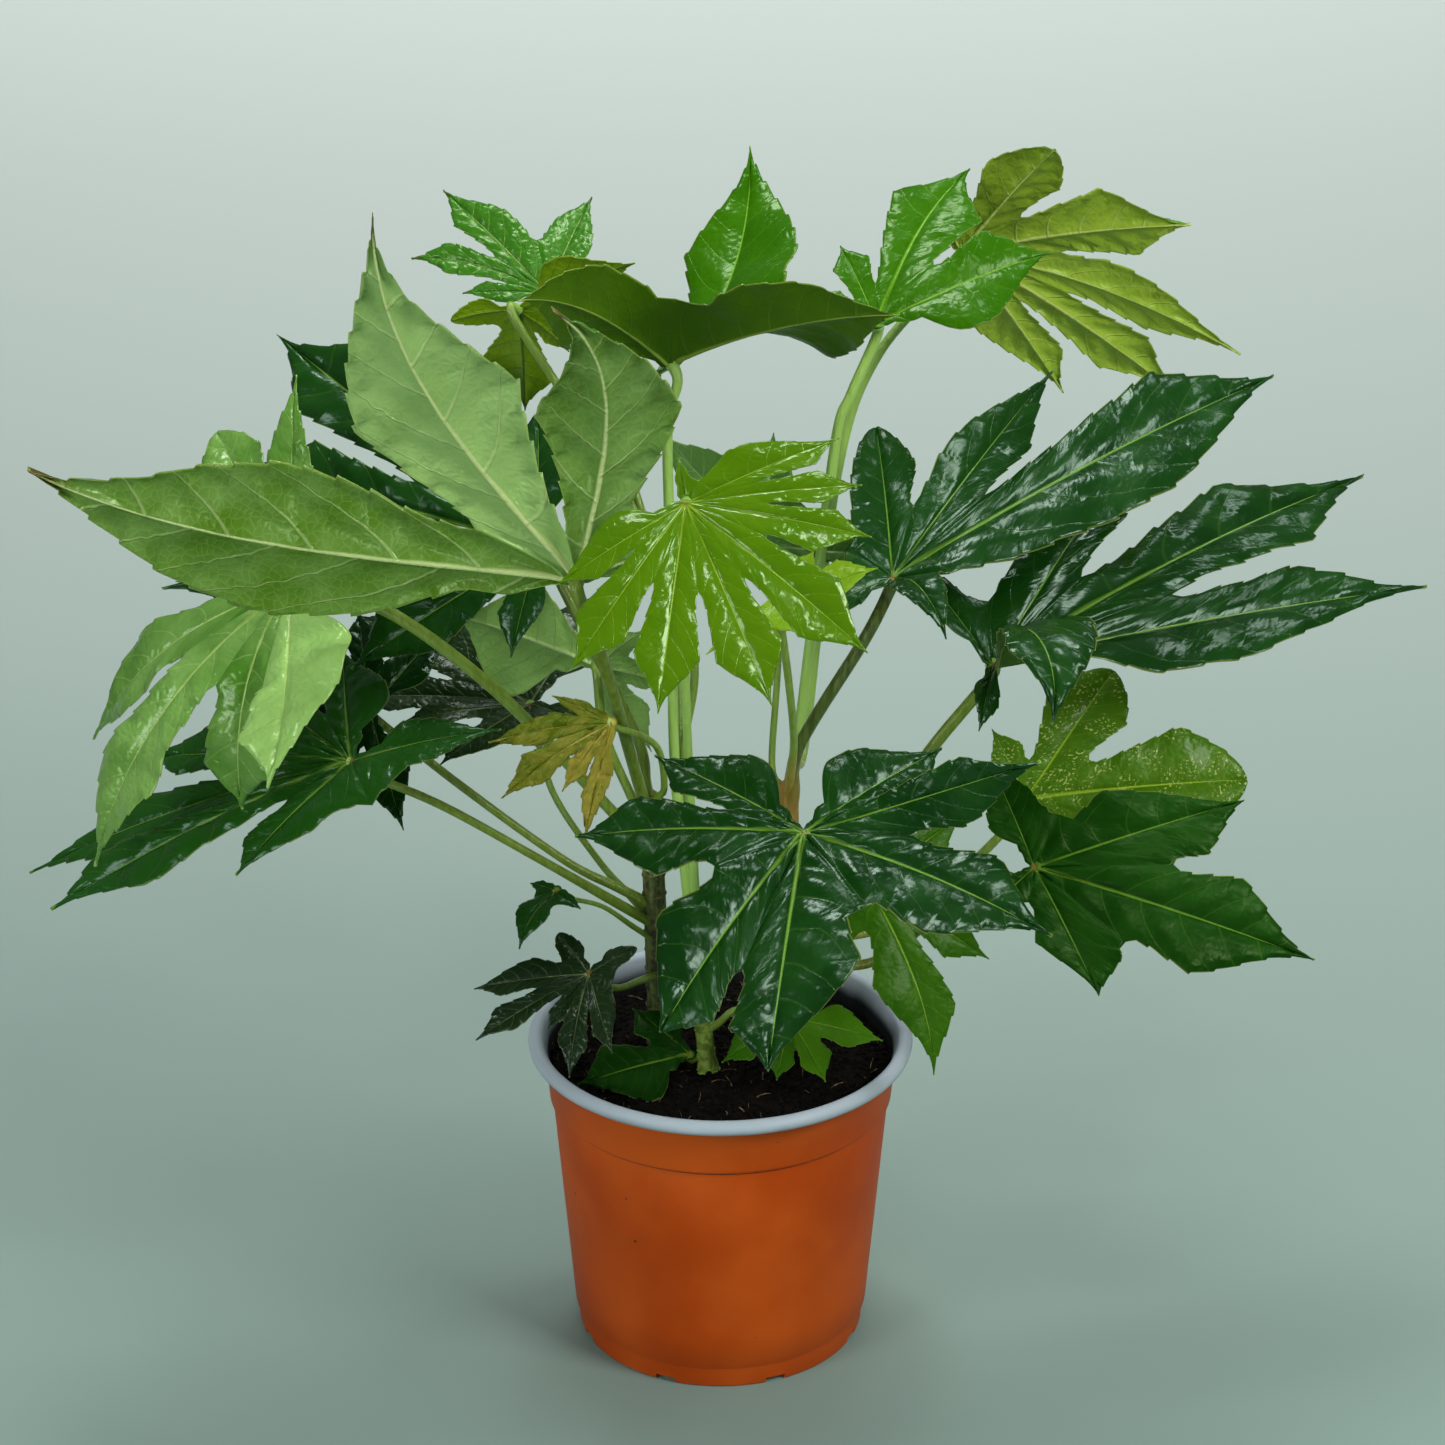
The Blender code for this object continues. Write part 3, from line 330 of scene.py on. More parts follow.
def add_object(name: str, data: ID) -> Object:
    """Adds an object to the scene."""
    made = bpy.data.objects.new(name, data)
    bpy.context.scene.collection.objects.link(made)
    return made


def make_mesh(name: str, points: list[Vector], edges: list[tuple], faces: list[tuple]) -> Mesh:
    """A mesh in metres from points in millimetres."""
    mesh = bpy.data.meshes.new(name)
    mesh.from_pydata([point * MM for point in points], edges, faces)
    return mesh


def turn_round(profile: list[tuple[float, float]], sides: int) -> tuple[list[Vector], list[tuple]]:
    """A closed shape turned about the upright axis.

    Args:
        profile: radius and height of each ring, with the two middle points at the ends.
        sides: number of points round each ring.

    Returns:
        The points, and the faces as bands of quads between the rings with the two fans last.
    """
    points = [Vector((0, 0, profile[0][1]))]
    for radius, height in profile[1:-1]:
        points += [direction(TAU * k / sides) * radius + Vector((0, 0, height)) for k in range(sides)]
    points.append(Vector((0, 0, profile[-1][1])))
    steps = [(k, (k + 1) % sides) for k in range(sides)]
    lows = [1 + ring * sides for ring in range(len(profile) - 2)]
    faces = [(low + k, low + n, low + sides + n, low + sides + k) for low in lows[:-1] for k, n in steps]
    for k, n in steps:
        faces += [(0, 1 + n, 1 + k), (lows[-1] + k, lows[-1] + n, len(points) - 1)]
    return points, faces


def smooth(low: float, high: float, value: float) -> float:
    """Smooth step from 0 at low to 1 at high."""
    share = min(max((value - low) / (high - low), 0.0), 1.0)
    return share * share * (3 - 2 * share)


class Graph:
    """A material's node tree, built in small steps."""

    def __init__(self, name: str) -> None:
        """Starts an empty material with its Principled shader."""
        self.material = bpy.data.materials.new(name)
        self.material.use_nodes = True
        self.nodes = self.material.node_tree.nodes
        self.links = self.material.node_tree.links
        self.shader = self.nodes["Principled BSDF"]

    def feed(self, socket: NodeSocket, value: object) -> None:
        """Links a socket, or sets it to a constant."""
        if isinstance(value, NodeSocket):
            self.links.new(value, socket)
        elif isinstance(value, tuple) and len(value) == 3 and socket.type == "RGBA":
            socket.default_value = (*value, 1.0)
        else:
            socket.default_value = value

    def add(self, kind: str, *values: object, **settings: object) -> Node:
        """Adds a node, sets its properties and feeds its inputs in their order."""
        node = self.nodes.new(kind)
        for name, value in settings.items():
            setattr(node, name, value)
        for socket, value in zip(node.inputs, values):
            self.feed(socket, value)
        return node

    def math(self, operation: str, *values: object, clamp: bool = False) -> NodeSocket:
        """One Math node over one, two or three values."""
        return self.add("ShaderNodeMath", *values, operation=operation, use_clamp=clamp).outputs[0]

    def flip(self, value: object) -> NodeSocket:
        """One less a value."""
        return self.math("SUBTRACT", 1.0, value)

    def times(self, value: object, factor: object) -> NodeSocket:
        """A value times a factor."""
        return self.math("MULTIPLY", value, factor)

    def layer(self, value: object, factor: object, base: object) -> NodeSocket:
        """A value times a factor, laid on a base."""
        return self.math("MULTIPLY_ADD", value, factor, base)

    def mix(self, share: object, low: object, high: object) -> NodeSocket:
        """Mixes two colours by a share."""
        node = self.add("ShaderNodeMix", share, data_type="RGBA")
        self.feed(node.inputs[6], low)
        self.feed(node.inputs[7], high)
        return node.outputs[2]

    def blend(self, share: object, low: object, high: object) -> NodeSocket:
        """Mixes two numbers by a share."""
        node = self.add("ShaderNodeMix", share, data_type="FLOAT")
        self.feed(node.inputs[2], low)
        self.feed(node.inputs[3], high)
        return node.outputs[0]

    def ramp(self, value: object, low: float, high: float) -> NodeSocket:
        """Smooth step of a value from 0 at low to 1 at high."""
        steps = (value, low, high, 0.0, 1.0)
        return self.add("ShaderNodeMapRange", *steps, interpolation_type="SMOOTHSTEP").outputs[0]

    def texture(self, kind: str, vector: NodeSocket, scale: float, **settings: object) -> Node:
        """Adds a texture along a vector."""
        node = self.add(kind, **settings)
        self.feed(node.inputs["Vector"], vector)
        self.feed(node.inputs["Scale"], scale)
        return node

    def noise(self, vector: NodeSocket, scale: float, detail: float = 3.0) -> NodeSocket:
        """Noise value along a vector."""
        node = self.texture("ShaderNodeTexNoise", vector, scale)
        self.feed(node.inputs["Detail"], detail)
        return node.outputs[0]

    def dots(
        self, vector: NodeSocket, scale: float, core: float, rim: float, **settings: object
    ) -> NodeSocket:
        """Round dots, 1 within the core and 0 outside the rim."""
        node = self.texture("ShaderNodeTexVoronoi", vector, scale, **settings)
        return self.flip(self.ramp(node.outputs["Distance"], core, rim))

    def split(self, vector: NodeSocket) -> tuple[NodeSocket, ...]:
        """The three parts of a vector."""
        return tuple(self.add("ShaderNodeSeparateXYZ", vector).outputs)

    def uv(self, name: str) -> NodeSocket:
        """A UV map of the piece."""
        return self.add("ShaderNodeUVMap", uv_map=name).outputs[0]

    def attribute(self, name: str) -> NodeSocket:
        """Value of a named attribute."""
        return self.add("ShaderNodeAttribute", attribute_name=name).outputs["Fac"]

    def place(self) -> NodeSocket:
        """Object coordinates."""
        return self.add("ShaderNodeTexCoord").outputs["Object"]

    def bump(self, height: NodeSocket, depth: float) -> None:
        """Gives the shader a bump of a height, where 1 stands for the depth in metres."""
        node = self.add("ShaderNodeBump")
        self.feed(node.inputs["Distance"], depth)
        self.feed(node.inputs["Height"], height)
        self.feed(self.shader.inputs["Normal"], node.outputs[0])

    def finish(self, **values: object) -> Material:
        """Sets the shader's inputs, underscores standing for spaces, and gives the material."""
        for name, value in values.items():
            self.feed(self.shader.inputs[name.replace("_", " ")], value)
        return self.material


@dataclass(frozen=True)
class LeafFinish:
    """A living leaf: its upper face, its underside, and the veins on both."""

    name: str
    top: Colour
    # top_light and under_light are the lighter colours, reached by random patches and by the painted light
    # set for each lobe
    top_light: Colour
    rib: Colour
    under: Colour
    under_light: Colour
    under_rib: Colour
    gloss: float = 0.3  # roughness of the upper face
    under_gloss: float = 0.45
    lateral: float = 0.35  # how far the lateral veins take the rib's colour
    net: float = 0.15
    relief: float = 1.0
    speckle: float = 0.0
    coat: float = 0.1
    sheen: float = 0.4
    leather: float = 0.13  # rise of the cells between the fine veins of the upper face
    under_leather: float = 0.15  # and how far they lie in below
    patch: float = 0.35  # patches of lighter colour to a centimetre
    dry_tip: float = 0.0
    dust: float = 0.0  # small pale specks
    rim: float = 0.3  # how far the thin margin takes the edge colour
    tips: float = 0.4
    laterals: float = 8.0  # pairs of lateral veins on a lobe
    rib_width: tuple[float, float] = (0.012, 0.045)  # of its core and its edge, as shares of the half width
    cells: float = 2.4  # between fine veins, to a centimetre
    net_width: float = 0.1  # of the fine veins, as a share of a cell
    cell_slope: float = 0.4  # share of a cell over which it rises
    edge: Colour = (0.45, 0.55, 0.12)
    glint: Colour = (0.66, 1.0, 0.42)  # tint of what the face reflects
    spot: Colour = (0.62, 0.66, 0.2)  # of the speckle
    tooth: Colour = (0.72, 0.78, 0.5)
    dried: Colour = (0.09, 0.045, 0.008)
    knot: Colour = (0.2, 0.09, 0.02)  # over the end of the stalk

    def masks(self, graph: Graph) -> tuple[NodeSocket, ...]:
        """Where the midrib, the lateral veins and the net of fine veins run.

        Args:
            graph: the material's tree.

        Returns:
            One mask for each, 1 on the vein and 0 off it, and the rise of the cells between fine veins.
        """
        across, along, _ = graph.split(graph.uv("lobe"))
        beside = graph.math("ABSOLUTE", across)
        thin = graph.math("SUBTRACT", 1.08, along)
        rib = graph.flip(graph.ramp(graph.math("DIVIDE", beside, thin), *self.rib_width))
        arch = graph.layer(graph.times(beside, beside), VEIN_SWEEP, graph.times(beside, VEIN_LEAVE))
        step = graph.times(graph.math("GREATER_THAN", across, 0.0), VEIN_OFFSET)
        phase = graph.layer(graph.math("SUBTRACT", along, arch), self.laterals, step)
        off = graph.math("ABSOLUTE", graph.math("SUBTRACT", graph.math("FRACT", phase), 0.5))
        wide = graph.layer(beside, -0.022, 0.048)
        lateral = graph.flip(graph.ramp(graph.math("DIVIDE", off, wide), 0.25, 1.0))
        cells = graph.texture(
            "ShaderNodeTexVoronoi", self.bent(graph), self.cells,
            feature="DISTANCE_TO_EDGE", voronoi_dimensions="2D",
        ).outputs["Distance"]
        net = graph.flip(graph.ramp(cells, 0.0, self.net_width))
        return rib, lateral, net, graph.ramp(cells, 0.0, self.cell_slope)

    @staticmethod
    def bent(graph: Graph) -> NodeSocket:
        """Centimetres along and across the lobe, bent a little so that cells aren't regular."""
        flat = graph.uv("flat")
        warp = graph.texture("ShaderNodeTexNoise", flat, 1.4).outputs["Color"]
        far = (0.35, 0.35, 0.0)
        return graph.add("ShaderNodeVectorMath", warp, far, flat, operation="MULTIPLY_ADD").outputs[0]

    def mark(self, graph: Graph, flat: NodeSocket, colour: NodeSocket) -> NodeSocket:
        """Lays the marks of age and growth over a leaf's colour.

        Args:
            graph: the material's tree.
            flat: centimetres along and across the lobe.
            colour: the colour below the marks.

        Returns:
            The colour with its specks, margin, tooth tips, dry tip and the knot over the stalk.
        """
        if self.speckle:
            dots = graph.ramp(graph.noise(flat, 7.0, 1.0), 0.58, 0.66)
            patch = graph.ramp(graph.noise(flat, 0.8, 1.0), 0.42, 0.6)
            colour = graph.mix(graph.times(graph.times(dots, patch), self.speckle), colour, self.spot)
        if self.dust:
            dot = graph.dots(flat, 2.6, 0.03, 0.06, voronoi_dimensions="2D")
            sparse = graph.ramp(graph.noise(flat, 1.7, 1.0), 0.5, 0.56)
            colour = graph.mix(graph.times(graph.times(dot, sparse), self.dust), colour, self.rib)
        margin = graph.ramp(graph.attribute("margin"), 0.965, 1.0)
        colour = graph.mix(graph.times(margin, self.rim), colour, self.edge)
        tips = graph.ramp(graph.attribute("tooth"), 0.6, 1.0)
        colour = graph.mix(graph.times(tips, self.tips), colour, self.tooth)
        if self.dry_tip:
            dry = graph.ramp(graph.split(graph.uv("lobe"))[1], 0.9, 0.985)
            colour = graph.mix(graph.times(dry, self.dry_tip), colour, self.dried)
        knot = graph.flip(graph.ramp(graph.split(flat)[1], -0.34, -0.16))
        return graph.mix(graph.times(knot, 0.75), colour, self.knot)

    def material(self) -> Material:
        """The material of both faces, told apart by the side attribute."""
        graph = Graph(self.name)
        rib, lateral, net, pillow = self.masks(graph)
        side = graph.ramp(graph.attribute("side"), 0.4, 0.6)
        flat = graph.uv("flat")
        cloud = graph.ramp(graph.noise(flat, self.patch), 0.3, 0.7)
        # the lighter colour is reached by random patches and by each lobe's painted light and shade
        cast = graph.math("MULTIPLY_ADD", cloud, 0.35, graph.attribute("cast"), clamp=True)
        veins = graph.math("MAXIMUM", rib, graph.times(lateral, self.lateral), clamp=True)
        top = graph.mix(veins, graph.mix(cast, self.top, self.top_light), self.rib)
        veins = graph.math("MAXIMUM", veins, graph.times(net, self.net), clamp=True)
        under = graph.mix(veins, graph.mix(cast, self.under, self.under_light), self.under_rib)
        colour = self.mark(graph, flat, graph.mix(side, under, top))
        height = graph.times(rib, graph.blend(side, 0.3, -0.12))
        swells = graph.noise(flat, 1.0, 2.0)
        layers = ((lateral, 0.3, -0.1), (pillow, -self.under_leather, self.leather), (swells, -0.35, 0.6))
        for value, below, above in layers:
            height = graph.layer(value, graph.blend(side, below, above), height)
        graph.bump(graph.layer(graph.noise(flat, 14.0, 1.0), 0.02, height), self.relief * MM)
        rough = graph.blend(side, self.under_gloss, self.gloss)
        rough = graph.layer(graph.math("SUBTRACT", cloud, 0.5), 0.08, rough)
        rough = graph.math("ADD", rough, graph.attribute("dull"))
        return graph.finish(
            Base_Color=colour, Roughness=rough, Coat_Weight=self.coat, Coat_Roughness=0.12,
            Specular_IOR_Level=self.sheen, Specular_Tint=self.glint,
        )


LEAF_FINISHES = {
    Tone.PALE: LeafFinish(
        "pale_underside", (0.02, 0.12, 0.004), (0.05, 0.2, 0.01), (0.3, 0.42, 0.1),
        (0.07, 0.175, 0.003), (0.26, 0.44, 0.13), (0.48, 0.6, 0.24),
        gloss=0.3, under_gloss=0.3, laterals=6.5, net=0.12, relief=1.3, dry_tip=0.8, under_leather=0.11,
        sheen=0.55,
    ),
    Tone.DARK: LeafFinish(
        "dark_gloss", (0.001, 0.021, 0.001), (0.011, 0.07, 0.005), (0.13, 0.27, 0.03),
        (0.05, 0.13, 0.006), (0.09, 0.18, 0.012), (0.27, 0.38, 0.08),
        gloss=0.25, lateral=0.08, net=0.0, laterals=7.0, coat=0.08, sheen=0.32, relief=0.75, leather=0.08,
        glint=(0.68, 1.0, 0.82),
    ),
    Tone.YELLOW: LeafFinish(
        "yellow_underside", (0.13, 0.28, 0.002), (0.2, 0.36, 0.004), (0.3, 0.42, 0.03),
        (0.14, 0.26, 0.001), (0.22, 0.35, 0.003), (0.05, 0.12, 0.002),
        gloss=0.38, laterals=7.0,
    ),
    Tone.BRIGHT: LeafFinish(
        "bright_green", (0.014, 0.09, 0.0), (0.045, 0.18, 0.0), (0.14, 0.34, 0.02),
        (0.035, 0.1, 0.001), (0.075, 0.17, 0.002), (0.25, 0.36, 0.05),
        gloss=0.22, lateral=0.15, net=0.0, coat=0.04, sheen=0.26, relief=0.7,
    ),
    Tone.YOUNG: LeafFinish(
        "young_leaf", (0.047, 0.14, 0.0), (0.088, 0.195, 0.0), (0.21, 0.35, 0.02),
        (0.12, 0.24, 0.001), (0.2, 0.34, 0.004), (0.32, 0.44, 0.03),
        gloss=0.18, lateral=0.12, net=0.0, relief=0.5, coat=0.3, rim=0.1, tips=0.1,
    ),
    Tone.LIGHT: LeafFinish(
        "light_green", (0.03, 0.14, 0.0), (0.28, 0.5, 0.13), (0.36, 0.54, 0.14),
        (0.12, 0.26, 0.02), (0.2, 0.36, 0.05), (0.4, 0.52, 0.14),
        gloss=0.24, lateral=0.25, relief=1.4, coat=0.3,
    ),
    Tone.SHADE: LeafFinish(
        "shaded_green", (0.003, 0.016, 0.002), (0.02, 0.05, 0.012), (0.16, 0.22, 0.08),
        (0.03, 0.07, 0.006), (0.06, 0.12, 0.02), (0.16, 0.24, 0.06),
        gloss=0.3, lateral=0.3, net=0.0, relief=1.4, glint=(0.85, 1.0, 0.9),
    ),
    Tone.GREY: LeafFinish(
        "grey_underside", (0.05, 0.14, 0.02), (0.1, 0.22, 0.05), (0.26, 0.4, 0.12),
        (0.17, 0.33, 0.06), (0.28, 0.48, 0.14), (0.42, 0.58, 0.22),
        gloss=0.36, under_gloss=0.38, lateral=0.3,
    ),
    Tone.MOTTLED: LeafFinish(
        "mottled_green", (0.025, 0.1, 0.0), (0.08, 0.2, 0.001), (0.26, 0.42, 0.02),
        (0.08, 0.18, 0.01), (0.14, 0.25, 0.02), (0.3, 0.42, 0.08),
        gloss=0.4, speckle=0.6, lateral=0.15, net=0.03,
    ),
    Tone.MID: LeafFinish(
        "middle_green", (0.012, 0.07, 0.0), (0.06, 0.19, 0.001), (0.18, 0.34, 0.02),
        (0.07, 0.17, 0.008), (0.12, 0.22, 0.02), (0.28, 0.4, 0.08),
        gloss=0.36, lateral=0.15, net=0.02, dust=0.5, coat=0.04, sheen=0.25,
    ),
    Tone.WITHERED: LeafFinish(
        "withered_leaf", (0.08, 0.125, 0.001), (0.32, 0.26, 0.035), (0.46, 0.42, 0.08),
        (0.09, 0.11, 0.002), (0.27, 0.21, 0.02), (0.4, 0.34, 0.08),
        gloss=0.45, under_gloss=0.5, coat=0.0, relief=2.2, lateral=0.4, edge=(0.12, 0.05, 0.005), patch=1.1,
    ),
}


OLIVE = LeafFinish(
    "olive_underside", (0.03, 0.15, 0.004), (0.08, 0.25, 0.01), (0.3, 0.42, 0.1),
    (0.12, 0.2, 0.003), (0.29, 0.44, 0.035), (0.45, 0.55, 0.13),
    gloss=0.3, under_gloss=0.4, laterals=7.0, net=0.14, relief=1.1,
)
DEEP = LeafFinish(
    "deep_green", (0.001, 0.021, 0.0), (0.013, 0.08, 0.005), (0.1, 0.22, 0.02),
    (0.05, 0.13, 0.006), (0.09, 0.18, 0.012), (0.27, 0.38, 0.08),
    gloss=0.36, lateral=0.12, net=0.0, laterals=7.0, coat=0.0, sheen=0.14, relief=0.9, leather=0.08,
)
OWN_FINISHES = {"leaf_far_right": OLIVE, "leaf_low_right": DEEP, "leaf_on_soil": DEEP}


@dataclass(frozen=True)
class StemFinish:
    """Stalks from light green to olive by the tint attribute, turning to bark by the wood attribute."""

    name: str
    bark: Colour
    bark_light: Colour
    light: Colour = (0.33, 0.56, 0.11)
    middle: Colour = (0.13, 0.2, 0.012)
    deep: Colour = (0.03, 0.045, 0.004)
    sheath: Colour = (0.42, 0.22, 0.03)
    stalk_rough: float = 0.32
    bark_rough: float = 0.7

    def material(self) -> Material:
        """Streaked green with bark where the wood attribute is high."""
        graph = Graph(self.name)
        place = graph.place()
        stretch = graph.add("ShaderNodeMapping", place)
        stretch.inputs["Scale"].default_value = (1.0, 1.0, 0.12)
        streak = graph.ramp(graph.noise(stretch.outputs[0], 420.0), 0.35, 0.65)
        uneven = graph.math("SUBTRACT", graph.noise(place, 16.0), 0.5)
        tint = graph.layer(uneven, 0.3, graph.attribute("tint"))
        stalk = graph.mix(graph.ramp(tint, 0.0, 0.5), self.light, self.middle)
        stalk = graph.mix(graph.ramp(tint, 0.5, 1.0), stalk, self.deep)
        wood = graph.ramp(graph.attribute("wood"), 0.25, 0.8)
        bark = graph.mix(graph.ramp(graph.noise(place, 240.0), 0.42, 0.6), self.bark, self.bark_light)
        colour = graph.mix(graph.times(streak, 0.18), graph.mix(wood, stalk, bark), self.light)
        colour = graph.mix(graph.times(graph.attribute("sheath"), 0.85), colour, self.sheath)
        height = graph.layer(graph.noise(place, 300.0), graph.blend(wood, 0.15, 1.0), streak)
        graph.bump(height, 0.25 * MM)
        rough = graph.blend(wood, self.stalk_rough, self.bark_rough)
        return graph.finish(Base_Color=colour, Roughness=rough, Specular_IOR_Level=0.5)


@dataclass(frozen=True)
class PotFinish:
    """Thermoformed plastic, terracotta outside and blue-grey where the inner layer shows."""

    outer: Colour = (0.41, 0.053, 0.001)
    outer_light: Colour = (0.53, 0.085, 0.006)
    inner: Colour = (0.42, 0.5, 0.56)
    # near-black of the inner wall: soil smears and painted shade inside the pot
    soiled_and_shaded: Colour = (0.016, 0.017, 0.018)
    speck: Colour = (0.06, 0.015, 0.006)
    rough: float = 0.5
    lining_rough: float = 0.33
    soil_and_shade_line: tuple[float, float] = (0.152, 0.162)  # metres above the foot over which the soiling and the painted shade end

    def material(self) -> Material:
        """Mottled plastic with small dark specks, darkened down the inside by soil and by painted shade."""
        graph = Graph("pot_plastic")
        place = graph.place()
        cloud = graph.ramp(graph.noise(place, 14.0, 4.0), 0.35, 0.68)
        sparse = graph.ramp(graph.noise(place, 30.0, 1.0), 0.58, 0.62)
        specks = graph.times(graph.dots(place, 55.0, 0.035, 0.06), sparse)
        outer = graph.mix(specks, graph.mix(cloud, self.outer, self.outer_light), self.speck)
        depth = graph.layer(graph.noise(place, 60.0), 0.004, graph.split(place)[2])
        # the lining turns near-black below the rim: partly soil, partly painted shade
        inner = graph.mix(graph.ramp(depth, *self.soil_and_shade_line), self.soiled_and_shaded, self.inner)
        lining = graph.attribute("lining")
        rough = graph.blend(lining, self.rough, self.lining_rough)
        rough = graph.layer(graph.math("SUBTRACT", cloud, 0.5), 0.1, rough)
        height = graph.layer(graph.noise(place, 45.0, 3.0), 4.0, graph.noise(place, 1500.0, 2.0))
        graph.bump(height, 0.06 * MM)
        colour = graph.mix(lining, outer, inner)
        return graph.finish(Base_Color=colour, Roughness=rough, Specular_IOR_Level=0.15)


@dataclass(frozen=True)
class PeatFinish:
    """Dark crumbly peat, or its pale fibres."""

    name: str
    dark: Colour
    light: Colour

    def material(self) -> Material:
        """Mottled and matt, with a coarse grain."""
        graph = Graph(self.name)
        place = graph.place()
        cloud = graph.ramp(graph.noise(place, 260.0, 4.0), 0.4, 0.75)
        graph.bump(graph.noise(place, 900.0, 4.0), 1.0 * MM)
        colour = graph.mix(cloud, self.dark, self.light)
        return graph.finish(Base_Color=colour, Roughness=0.92, Specular_IOR_Level=0.15)


@dataclass(frozen=True)
class FloorFinish:
    """The plain pale floor, with painted shade that makes it a little deeper near the front."""

    near: Colour = (0.185, 0.275, 0.24)
    far: Colour = (0.66, 0.74, 0.7)
    reach: tuple[float, float] = (-0.6, 3.0)  # metres over which the painted shade fades and it turns pale

    def material(self) -> Material:
        """Plain matt paper."""
        graph = Graph("floor_paper")
        # painted shade: darker towards the front, paler further back
        share = graph.ramp(graph.split(graph.place())[1], *self.reach)
        colour = graph.mix(share, self.near, self.far)
        return graph.finish(Base_Color=colour, Roughness=0.95, Specular_IOR_Level=0.1)


def add_piece(name: str, mesh: Mesh, slot: str, *nodes: str) -> Object:
    """Adds a finished piece at the origin that stands for CAD nodes.

    Args:
        name: the piece's name.
        mesh: its mesh, in metres, in place.
        slot: not used.
        nodes: the CAD nodes that it replaces.

    Returns:
        The new object.
    """
    piece = add_object(name, mesh)
    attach(piece, "root")
    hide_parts(*nodes)
    LOG.info("%s: %d faces", name, len(mesh.polygons))
    return piece


def set_values(mesh: Mesh, domain: str = "POINT", **values: list[float]) -> None:
    """Stores one number for each point or face under each name."""
    for name, numbers in values.items():
        mesh.attributes.new(name, "FLOAT", domain).data.foreach_set("value", numbers)


def half_width(share: float, peak: float, taper: float) -> float:
    """Half width of a lobe, as a share of its widest, at a share of its length past the sinus."""
    if share < peak:
        return math.sin(share / peak * math.pi / 2)
    fall = (share - peak) / (1 - peak)
    return ((1 + math.cos(math.pi * fall)) / 2) ** taper


class Finger:
    """The midrib of one lobe as an arc in space, and the points beside it."""

    def __init__(self, lobe: Lobe, leaf_width: float) -> None:
        """Takes the lobe's angles to radians."""
        self.turn = math.radians(lobe.turn)
        self.length = lobe.length
        self.lift = math.radians(lobe.lift)
        self.droop = math.radians(lobe.droop or 0.01)
        self.bend = math.radians(lobe.bend)
        self.twist = math.radians(lobe.twist)
        self.width = leaf_width * lobe.length * lobe.width
        self.peak = lobe.peak
        self.taper = lobe.taper

    def rib(self, s: float) -> Vector:
        """Point on the midrib at a share of its length."""
        climb = self.lift - self.droop * s
        out = PAD_RADIUS + self.length * (math.sin(self.lift) - math.sin(climb)) / self.droop
        up = self.length * (math.cos(climb) - math.cos(self.lift)) / self.droop
        return direction(self.turn + self.bend * s * s) * out + Vector((0, 0, up))

    def frame(self, s: float) -> tuple[Vector, Vector]:
        """The directions across the lobe and out of its face at a share of its length."""
        climb = self.lift - self.droop * s
        ahead = self.turn + 3 * self.bend * s * s
        along = direction(ahead) * math.cos(climb) + Vector((0, 0, math.sin(climb)))
        level = direction(ahead + math.pi / 2)
        normal = along.cross(level)
        cos, sin = math.cos(self.twist * s), math.sin(self.twist * s)
        return level * cos + normal * sin, normal * cos - level * sin

    def beside(self, s: float, side: int, distance: float) -> Vector:
        """Point at a distance to one side of the midrib, +1 being the side of the next lobe."""
        across, normal = self.frame(s)
        rise = math.radians(FOLD - CURL / 2) * min(3 * s, 1)
        return self.rib(s) + distance * (across * side * math.cos(rise) + normal * math.sin(rise))


@dataclass(frozen=True)
class LeafForm:
    """How a leaf's edge is cut and how far its face swells, puckers and waves."""

    tooth_base: float = 3.5  # pitch of the teeth on the smallest lobe
    tooth_growth: float = 0.055  # and how it grows with the lobe's length
    tooth_depth: float = 0.12  # of the pitch
    quilt: float = 0.03  # rise between lateral veins, as a share of the half width
    pucker: float = 0.45  # height of the uneven swellings
    pucker_size: float = 0.09  # of them to a millimetre
    ruffle: float = 0.04  # swing of the edge, as a share of the half width


LEAF_FORMS = {
    Tone.PALE: LeafForm(quilt=0.09, pucker=0.5, ruffle=0.03),
    Tone.DARK: LeafForm(quilt=0.065, pucker=0.45),
    Tone.YOUNG: LeafForm(tooth_depth=0.06, quilt=0.03, pucker=0.5, ruffle=0.03),
    Tone.LIGHT: LeafForm(quilt=0.05, pucker=1.0, ruffle=0.08),
    Tone.WITHERED: LeafForm(quilt=0.1, pucker=2.6, pucker_size=0.24, ruffle=0.3),
}


# per-lobe share of a finish's lighter colour: partly the lobe's own tone, partly painted light and shade
USUAL_TONE_AND_PAINTED_LIGHT = (0.3,)
LOBE_TONE_AND_PAINTED_LIGHT = {
    "leaf_upright_left": (0.0, 0.8, 0.15),
    "leaf_low_left": (1.0,),
    "leaf_glossy_left": (0.0,),
    "leaf_on_soil": (0.05,),
    "leaf_low_right": (0.25,),
    "leaf_front": (0.1,),
    "leaf_right_upper": (0.1, 0.25, 0.35),
    "leaf_right_middle": (0.2,),
    "leaf_dark_behind": (0.4,),
    "leaf_in_pot": (0.0, 0.0, 0.5),
    "leaf_hanging_right": (0.05,),
    "leaf_far_right": (0.1, 0.1, 0.4, 0.8),
    "leaf_small_rim": (0.0,),
    "leaf_withered": (0.0, 0.0, 0.1, 0.5),
    "leaf_drooping_left": (0.1, 0.1, 0.0, 0.15, 0.3, 0.1, 0.75),
}  # for the lobes in turn, from the deeper colour of a finish at 0 to its lighter one at 1; partly each lobe's own tone and partly painted light and shade, lighter where a lobe is lit or shines and deeper where it lies in shade


LEAF_DULLS = {
    "leaf_mottled_right": 0.08,
    "leaf_hanging_right": 0.1,
    "leaf_in_pot": 0.12,
    "leaf_top_right": 0.04,
}  # added to the roughness of a finish


